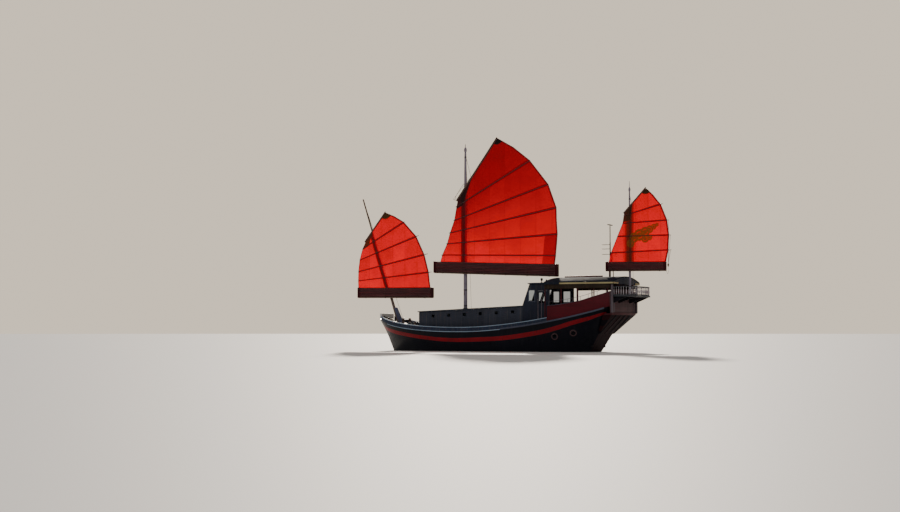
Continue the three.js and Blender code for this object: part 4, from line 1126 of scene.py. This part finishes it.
# %% Windows
def glazed(name, corners, bar=0.05):
    """A frame of bars round a pane, as (frame, pane). The corners lie on the frame's outer edge."""
    bpy.ops.mesh.primitive_plane_add(size=1)
    piece = apply_place(bpy.context.object)
    for vertex in piece.data.vertices:
        which = (0 if vertex.co.y < 0 else 3) if vertex.co.x < 0 else (1 if vertex.co.y < 0 else 2)
        vertex.co = corners[which]
    bpy.ops.object.mode_set(mode="EDIT")
    bpy.ops.mesh.select_all(action="SELECT")
    bpy.ops.mesh.inset(thickness=bar)
    bpy.ops.mesh.separate(type="SELECTED")
    bpy.ops.object.mode_set(mode="OBJECT")
    pane = next(other for other in bpy.context.selected_objects if other is not piece)
    modify(piece, "SOLIDIFY", thickness=0.045, offset=0.0)
    modify(pane, "SOLIDIFY", thickness=0.008, offset=0.0)
    piece.name, pane.name = name + "_bars", name + "_pane"
    return ease(piece, 0.005), pane


def upright_window(x0, x1, y, z0, z1, bar=0.05):
    return glazed("window", [(x0, y, z0), (x1, y, z0), (x1, y, z1), (x0, y, z1)], bar)


def fitted_windows(name, made, finish, slot):
    """Joins the bars and the panes of many windows into two pieces."""
    fixed(name + "_bars", [bars for bars, _ in made], finish, slot)
    fixed(name + "_glass", [pane for _, pane in made], glass, slot)


front, (low_x, low_z), (high_x, high_z) = [], (-2.459, 3.68), (-2.799, 4.6)
for y in (-1.33, 0, 1.33):
    front.append(glazed("front_window", [(low_x, y - 0.52, low_z), (low_x, y + 0.52, low_z),
                                         (high_x, y + 0.52, high_z), (high_x, y - 0.52, high_z)]))
sides = [upright_window(x0, x1, y, 3.6, 4.48)
         for x0, x1, y in ((-3.33, -2.78, 2.02), (-3.33, -2.78, -2.02), (-4.25, -3.6, -2.02))]
fitted_windows("wheelhouse_window", front + sides, rail_grey, "wheelhouse_paint")

# %% Cabin portlights
def roof_z(x):
    return 3.0 + (6.6 - x) * 0.04


lights = []
for x in (5.35, 4.0, 2.65, 1.3, -0.05, -1.4):
    for y in (1.837, -1.837):
        lights.append(upright_window(x - 0.15, x + 0.15, y, roof_z(x) - 0.56, roof_z(x) - 0.29, 0.03))
fitted_windows("cabin_portlight", lights, cabin_grey, "cabin_paint")

# %% Door
DOOR_SLOT, HINGES = slot_of["wheelhouse_door"], (2.7, 3.4, 4.15)
leaf = [plank("stile", (x, 2.0, 2.528), (x + 0.11, 2.04, 4.392)) for x in (-4.282, -3.648)]
for low, high in ((2.528, 2.66), (3.38, 3.5), (4.26, 4.392)):
    leaf.append(plank("door_rail", (-4.172, 2.002, low), (-3.648, 2.038, high)))
leaf.append(plank("door_panel", (-4.19, 2.013, 2.65), (-3.63, 2.027, 3.39)))
fit_out(joined("door_leaf", leaf), house_blue, "door", DOOR_SLOT, "wheelhouse_door")
fit_out(plank("door_pane", (-4.18, 2.016, 3.49), (-3.64, 2.024, 4.27), 0), glass, "door", DOOR_SLOT)
knuckle = turned("knuckle", [(0, -0.055), (0.013, -0.055), (0.016, -0.05), (0.016, 0.05), (0.013, 0.055),
                             (0, 0.055)], 14)
knuckles = copies("door_knuckles", knuckle, [stand(-3.534, 2.0663, z + 0.055) for z in HINGES])
straps = [plank("strap", (-3.61, 2.04, z), (-3.54, 2.062, z + 0.11), 0.004) for z in HINGES]
knob = turned("door_knob", [(0, 0), (0.02, 0), (0.02, 0.006), (0.008, 0.012), (0.008, 0.026), (0.02, 0.03),
                            (0.022, 0.036), (0.015, 0.041), (0, 0.042)], 14, stand(-4.227, 2.04, 3.45, -1, "X"))
fit_out(joined("door_metal", [knuckles, knob] + straps), black_iron, "door", DOOR_SLOT)

# %% Roof lamp, horn and gate posts
lamp = turned("roof_lamp", [(0, 5.04), (0.07, 5.04), (0.07, 5.06), (0.03, 5.08), (0.026, 5.14), (0.06, 5.16),
                            (0.09, 5.19), (0.09, 5.3), (0.06, 5.34), (0.03, 5.36), (0, 5.365)], 18,
              stand(-3.3, 0.9))
horn = turned("roof_horn", [(0, 5.04), (0.06, 5.04), (0.06, 5.06), (0.022, 5.08), (0.022, 5.2), (0, 5.21)], 14,
              stand(-3.0, -0.7))
bell = turned("horn_bell", [(0, 0), (0.03, 0), (0.034, 0.06), (0.04, 0.2), (0.055, 0.28), (0.09, 0.33), (0.08, 0.33),
                            (0.045, 0.27), (0.03, 0.2), (0, 0.19)], 16, stand(-3.2, -0.7, 5.235, 1, "Y"))
fixed("roof_lamp_and_horn", [lamp, horn, bell], black_iron, "wheelhouse_paint")
gate_post = turned("gate_post", [(0, 2.37), (0.05, 2.37), (0.05, 2.39), (0.03, 2.41), (0.03, 3.7), (0.042, 3.72),
                                 (0.042, 3.76), (0.02, 3.79), (0, 3.795)], 14)
gates = copies("gate_posts", gate_post, [stand(x, y) for y in (2.68, -2.68) for x in (-4.17, -3.9)])
fit_out(gates, post_pale, "vessel", "rail_paint")

# %% [markdown]
# ## The stern
# The square stern is the junk's face. Its upper transom stands on a shelf, and a closed counter of boards slopes
# from the shelf down to the hull, with four knees on it. Over them hangs the gallery, on four brackets. A knee is a
# block whose corners are moved to the two faces it joins, as a knee is sawn to fit. The balusters are turned once
# on the lathe and then repeated.

# %% Counter, knees and trim
def sawn(name, y, corners):
    """A block 0.1 m thick with four corners (x, z): low aft, low fore, high aft, high fore."""
    piece = plank(name, (0, y - 0.05, 0), (1, y + 0.05, 1), 0)
    for vertex in piece.data.vertices:
        vertex.co.x, vertex.co.z = corners[(vertex.co.x > 0.5) + 2 * (vertex.co.z > 0.5)]
    return ease(piece, 0.006)


counter = plank("counter_boards", (0, 0, 0), (1, 1, 1), 0)
for vertex in counter.data.vertices:
    aft, port, high = vertex.co.x < 0.5, vertex.co.y > 0.5, vertex.co.z > 0.5
    if high:
        x, half, z = -9.36 if aft else -8.7, 2.1, 2.638
    else:
        x, half, z = -8.03 if aft else -7.9, 1.3 if aft else 1.25, 1.28
    vertex.co = (x, half if port else -half, z)
fit_out(ease(counter, 0.01), stern_boards, "vessel", "transom_paint")
stern_black = paint("stern_black", (0.009, 0.008, 0.012), (0.03, 0.02, 0.02), gloss=0.7, shine=0.1, rubbing=0.0)
fixed("shelf_knees", [sawn("knee", y, [(-8.09, 1.3), (-7.95, 1.28), (-9.38, 2.6), (-8.8, 2.638)])
                      for y in (-1.2, -0.4, 0.4, 1.2)], stern_black, "transom_paint")
fixed("gallery_brackets", [sawn("bracket", y, [(-9.5, 3.5), (-9.403, 3.48), (x, 3.909), (-9.403, 3.909)])
                           for y, x in ((-1.9, -10.5), (-0.95, -10.75), (0.95, -10.75), (1.9, -10.5))],
      stern_black, "transom_paint")
fixed("transom_trim", [plank("trim", (x, -2.29, z), (-9.4, 2.29, z + 0.07))
                       for x, z in ((-9.425, 2.74), (-9.42, 4.38))], trim_maroon, "transom_paint")
fixed("transom_posts", [plank("post", (-9.425, y - 0.04, 2.815), (-9.4, y + 0.04, 3.56)) for y in (-1.72, 1.72)],
      post_pale, "transom_paint")

# %% Balustrade of the gallery
PORT_WALK = [(-9.52, 2.01), (-10.24, 2.01), (-10.58, 1.82), (-10.78, 1.14), (-10.84, 0.34)]
WALK = PORT_WALK + [(x, -y) for x, y in reversed(PORT_WALK)]
BALUSTER_STEP = 0.17
rails = [lines("hand_rail", [[(x, y, 4.62) for x, y in WALK]], 0.036, 2),
         lines("foot_rail", [[(x, y, 4.06) for x, y in WALK]], 0.028)]
fixed("gallery_rails", rails, gallery_grey, "rail_paint", "gallery_balustrade")
places = []
for (x0, y0), (x1, y1) in zip(WALK, WALK[1:]):
    count = max(2, round(math.hypot(x1 - x0, y1 - y0) / BALUSTER_STEP))
    places += [stand(x0 + (x1 - x0) * k / count, y0 + (y1 - y0) * k / count) for k in range(count)]
places.append(stand(*WALK[-1]))
baluster = turned("baluster", [(0, 4.03), (0.022, 4.03), (0.022, 4.1), (0.014, 4.12), (0.026, 4.2), (0.033, 4.27),
                               (0.026, 4.36), (0.013, 4.44), (0.012, 4.52), (0.022, 4.55), (0.022, 4.62),
                               (0, 4.62)], 10)
spindle_white = paint("spindle_white", (0.42, 0.39, 0.42), (0.3, 0.26, 0.24), streaks=0.3, rubbing=0.05)
fit_out(copies("gallery_balusters", baluster, places), spindle_white, "vessel", "rail_paint")
print("balusters:", len(places))

# %% Rail and stanchions over the poop bulwark
POOP_TOP = [(-9.3, 4.27), (-9.06, 4.19), (-7.18, 3.64), (-6.21, 3.47), (-5.3, 3.35), (-4.54, 3.3)]
DECK_EDGE = [(-9.132, 2.26, 3.20), (-7.998, 2.48, 2.88), (-5.714, 2.65, 2.38), (-2.688, 2.76, 1.88), (0.5, 2.83, 1.56),
             (3.2, 2.76, 1.5), (6.129, 2.48, 1.61), (8.37, 2.06, 1.85), (9.848, 1.52, 2.16), (10.816, 0.78, 2.46)]


def poop_top(x):
    """The height of the bulwark's top, on straight lines between its corners."""
    (x0, z0), (x1, z1) = next(pair for pair in zip(POOP_TOP, POOP_TOP[1:]) if pair[0][0] <= x <= pair[1][0])
    return z0 + (z1 - z0) * (x - x0) / (x1 - x0)


def edge_at(x):
    """Half-breadth and height of the deck's edge."""
    return [along([(row[0], row[k]) for row in DECK_EDGE], x) for k in (1, 2)]


cap = bent_board("poop_cap", [(x, edge_at(x)[0] - 0.07, poop_top(x) - 0.003, poop_top(x) + 0.028)
                              for x in (-9.28, -9.06, -8.5, -7.9, -7.18, -6.7, -6.21, -5.7, -5.3, -4.62)], 0.085)
fit_out(both_sides("poop_cap_rail", cap), rail_grey, "vessel", "rail_paint")
feet = [Vector((x, edge_at(x)[0] - 0.03, poop_top(x))) for x in (-9.0, -8.4, -7.75, -7.18, -6.6, -6.21, -5.3, -4.75)]
heads = [foot + Vector((0, 0, 0.3)) for foot in feet]
stanchions = [spar("stanchion", foot, head, 0.014, 0.012, 8) for foot, head in zip(feet, heads)]
stanchions = joined("poop_stanchions_port", stanchions + [lines("poop_line", [heads], 0.015)])
fit_out(both_sides("poop_stanchions", stanchions), post_pale, "vessel", "rail_paint")

# %% Aerials
heights = (7.76, 7.45, 7.06)
aerials = [lines("aerial_bar", [[(-7.32, -1.0, z), (-7.93, -1.0, z)]], 0.02) for z in heights]
aerials.append(lines("aerial_head", [[(-7.9, -1.41, 9.19), (-7.9, -0.59, 9.19)]], 0.034))
aerials += [lines("aerial_rod", [[(x, -1.2, z), (x, -0.8, z)]], 0.014) for z in heights for x in (-7.34, -7.5, -7.66)]
aerials.append(turned("aerial_sleeve", [(0, 5.31), (0.09, 5.31), (0.09, 5.34), (0.046, 5.38), (0.044, 7.9),
                                        (0.036, 7.95), (0.034, 9.1), (0, 9.12)], 14, stand(-7.9, -1.0)))
fixed("aerial_array", aerials, black_iron, "aerial_metal")

# %% [markdown]
# ## On the hull
# Two round ports, an outlet and a sheer strake sit on the curved side. Their places are read off the hull itself: a
# straight line of sight from port finds the point and the direction the side faces there, and the turned ring is
# laid on it. The foredeck gets its windlass, bitts and a stocked anchor, which every junk of this size carries.

# %% Ports, outlet and strake
PORTS = ((-5.13, 1.11), (-6.48, 1.36))
hull_shape = BVHTree.FromPolygons([v.co for v in hull.data.vertices], [tuple(f.vertices) for f in hull.data.polygons])


def side_at(x, z):
    """The point on the hull's port side and the way it faces."""
    point, faces, _, _ = hull_shape.ray_cast(Vector((x, 6, z)), Vector((0, -1, 0)))
    return point, faces


def on_side(name, profile, sides, places, finish):
    """Turned fittings laid on the hull at places (x, z), on both sides."""
    fitted = copies(name, turned("fitting", profile, sides), [aim(*side_at(x, z), "Y") for x, z in places])
    fit_out(both_sides(name, fitted), finish, "vessel", "hull_paint")


on_side("round_port_rings", [(0.17, -0.03), (0.17, 0.03), (0.185, 0.045), (0.225, 0.04), (0.25, 0.02), (0.25, -0.03),
                             (0.17, -0.03)], 32, PORTS, transom_mauve)
on_side("round_port_glass", [(0, -0.02), (0.18, -0.02), (0.18, 0.022), (0, 0.022)], 24, PORTS, glass)
on_side("hull_outlets", [(0.05, -0.03), (0.05, 0.06), (0.065, 0.06), (0.07, 0.02), (0.1, 0.015), (0.1, -0.03),
                         (0.05, -0.03)], 20, [(-7.38, 0.39)], black_iron)
rows = []
for x in (9.6, 8.9, 8.2, 7.4, 6.6, 5.7, 4.8, 3.9, 3.0, 2.0, 1.0, 0.0, -0.86):
    z = edge_at(x)[1] - 0.05
    rows.append((x, side_at(x, z)[0].y - 0.01, z - 0.03, z + 0.03))
fit_out(both_sides("sheer_strake", bent_board("strake", rows, 0.032, 0.008)), rail_blue, "vessel", "rail_paint")

# %% Foredeck
drum = turned("windlass", [(0, -0.62), (0.05, -0.62), (0.05, -0.5), (0.1, -0.49), (0.1, -0.44), (0.07, -0.4),
                           (0.065, 0.4), (0.1, 0.44), (0.1, 0.49), (0.05, 0.5), (0.05, 0.62), (0, 0.62)], 20,
              stand(8.85, 0, 2.36, 1, "X"))
cheeks = [plank("cheek", (8.77, y - 0.05, 1.93), (8.93, y + 0.05, 2.5), 0.012) for y in (-0.46, 0.46)]
bitts = [spar("bitt", (7.2, y, 1.68), (7.2, y, 2.2), 0.07, 0.065, 12) for y in (-1.45, 1.45)]
fixed("windlass_and_bitts", [drum] + cheeks + bitts, spar_brown, "deck_teak")
anchor = [lines("shank", [[(9.35, 0.8, 2.32), (10.5, 0.62, 2.6)]], 0.03, 2),
          lines("flukes", [[(9.62, 0.45, 2.26), (9.42, 0.62, 2.29), (9.35, 0.8, 2.31), (9.36, 1.0, 2.31),
                            (9.5, 1.18, 2.3)]], 0.032, 2),
          lines("stock", [[(10.36, 0.35, 2.56), (10.36, 0.9, 2.56)]], 0.024),
          lines("anchor_ring", [[(10.5 + 0.06 * math.cos(a), 0.62, 2.6 + 0.06 * math.sin(a))
                                 for a in (k * math.pi / 6 for k in range(13))]], 0.012)]
fixed("anchor", anchor, black_iron, "engine_iron")

# %% [markdown]
# ## Masts and running rigging
# Each mast is turned: a taper, then the hounds where the halyard's sheave sits, then a spike for the wind vane.
# The sail hangs from its yard by a halyard that ends at the mast's axis, round which the whole set swings, and each
# batten is held to the mast by a rope parrel. All these ropes are made fast, so none of them hangs free.

# %% Masts
MAIN_X, MIZZEN_X = MAST_AT_BOOM["main"], MAST_AT_BOOM["mizzen"]
main = turned("main_mast_turned", [(0, 3.12), (0.145, 3.12), (0.143, 5), (0.132, 8), (0.112, 12), (0.085, 14.6),
                                   (0.07, 15.1), (0.11, 15.17), (0.112, 15.3), (0.07, 15.42), (0.03, 15.46),
                                   (0.02, 15.7), (0, 15.72)], 24, stand(MAIN_X, 0))
fit_out(main, mast_blue, "vessel", slot_of["main_mast"], "main_mast")
mizzen = turned("mizzen_mast_turned", [(0, 4.03), (0.086, 4.03), (0.084, 6), (0.07, 9), (0.052, 11.3), (0.05, 11.45),
                                       (0.075, 11.5), (0.078, 11.62), (0.05, 11.72), (0.022, 11.76), (0.014, 12.18),
                                       (0, 12.2)], 20, stand(MIZZEN_X, 0))
fit_out(mizzen, mast_blue, "vessel", slot_of["mizzen_mast"], "mizzen_mast")
bands = []
for x, z, r in ((MAIN_X, 3.4, 0.146), (MAIN_X, 4.6, 0.145), (MAIN_X, 10.2, 0.124), (MAIN_X, 14.7, 0.085),
                (MIZZEN_X, 4.4, 0.087), (MIZZEN_X, 10.9, 0.056)):
    inner, outer, low, high = r - 0.01, r + 0.008, z - 0.035, z + 0.035
    bands.append(turned("band", [(inner, low), (outer, low), (outer, high), (inner, high), (inner, low)], 20,
                        stand(x, 0)))
bands.append(turned("mast_coat", [(0.15, 3.115), (0.24, 3.115), (0.24, 3.15), (0.2, 3.2), (0.15, 3.26),
                                  (0.15, 3.115)], 20, stand(MAIN_X, 0)))
fixed("mast_bands", bands, black_iron, "spar_wood")
cleats = [lines("cleat", [[(MAIN_X, side * 0.16, z - 0.14), (MAIN_X, side * 0.19, z),
                           (MAIN_X, side * 0.16, z + 0.14)]], 0.022) for side, z in ((-1, 4.2), (1, 4.35))]
fixed("mast_cleats", cleats, spar_brown, "spar_wood")

# %% Halyards, parrels and lacing
# For each mast: where its halyard leaves it, how far its parrels reach round it, and its yard's two thicknesses.
HOIST = {"main": (14.95, 0.17, 0.08, 0.05), "fore": (11.4, 0.125, 0.06, 0.04),
         "mizzen": (11.4, 0.105, 0.048, 0.034)}
SLING_AT, HITCH_STEP = 0.36, 0.42


def mast_axis(name, z):
    """Where a mast's axis is at a height. Only the foremast is raked."""
    return {"main": MAIN_X, "fore": 9.59 + (z - 2.15) * 0.341, "mizzen": MIZZEN_X}[name]


def loop_round(x, y, z, reach_x, reach_y):
    """A level loop of rope round a place."""
    return [(x + reach_x * math.cos(a), y + reach_y * math.sin(a), z) for a in (k * math.pi / 9 for k in range(19))]


for name, plan in SAILS.items():
    y, (top, reach, thick, thin) = plan["y"], HOIST[name]
    start, end = (Vector((x, y, z)) for x, z in plan["yard"])
    sling = start.lerp(end, SLING_AT) - Vector((0, 0.02, 0))
    halyard = lines(name + "_halyard", [[sling, (mast_axis(name, top), 0.02, top)]], 0.014)
    heights = [z0 + (z1 - z0) * (mast_axis(name, z0) - x0) / (x1 - x0) for x0, z0, x1, z1 in plan["battens"]]
    parrels = lines(name + "_parrels", [loop_round(mast_axis(name, z), y / 2 + 0.02 - reach / 2, z, reach + 0.03,
                                                   y / 2 + reach / 2 + 0.01) for z in heights], 0.012)
    count = int((end - start).length / HITCH_STEP)
    hitch = turned("hitch", [(1, -0.022), (1.14, -0.014), (1.18, 0), (1.14, 0.014), (1, 0.022), (1, -0.022)], 12)
    places = []
    for k in range(1, count):
        r = thick + (thin - thick) * k / count
        places.append(aim(start.lerp(end, k / count), end - start) @ Matrix.Diagonal((r, r, 1, 1)))
    lacing = copies(name + "_yard_lacing", hitch, places)
    fit_out(joined(name + "_rigging", [halyard, parrels, lacing]), rope, name + "_sail_set", "sail_cloth")

pair = lines("main_yard_lines", [[(4.2, 0.33, 11.4), (4.49, 0.33, 11.5), (2.86, 0.33, 13.21), (2.76, 0.33, 13.26)],
                                 [(4.35, 0.33, 11.45), (4.24, 0.33, 11.75), (3.59, 0.33, 12.63), (3.3, 0.33, 12.55)]],
             0.016)
fit_out(pair, rope, "main_sail_set", "sail_cloth")
falls = lines("halyard_falls", [[(MAIN_X, -0.1, 14.9), (MAIN_X, -0.9, 3.2)],
                                [(MIZZEN_X, -0.06, 11.3), (MIZZEN_X, -0.7, 4.02)],
                                [(12.74, -0.07, 11.35), (9.6, -0.9, 2.12)]], 0.011)
fit_out(falls, rope, "vessel", "spar_wood")
block = turned("sheet_block", [(0, -0.12), (0.03, -0.11), (0.06, -0.05), (0.065, 0.02), (0.05, 0.09), (0.02, 0.12),
                               (0, 0.12)], 12, stand(-12.86, 0.19, 6.12))
sheetlets = lines("sheetlets", [[(x, 0.215, z), (-12.87, 0.2, 6.22)]
                                for x, z in ((-13.06, 7.18), (-13.05, 8.224), (-12.92, 9.285))]
                  + [[(-12.86, 0.19, 6.0), (-12.88, 0.2, 5.62), (-12.82, 0.22, 5.5), (-12.74, 0.22, 5.7),
                      (-12.7, 0.21, 5.86)]], 0.011)
fit_out(joined("mizzen_sheet", [block, sheetlets]), rope, "mizzen_sail_set", "sail_cloth")

# %% Sizes and the end
low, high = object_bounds()
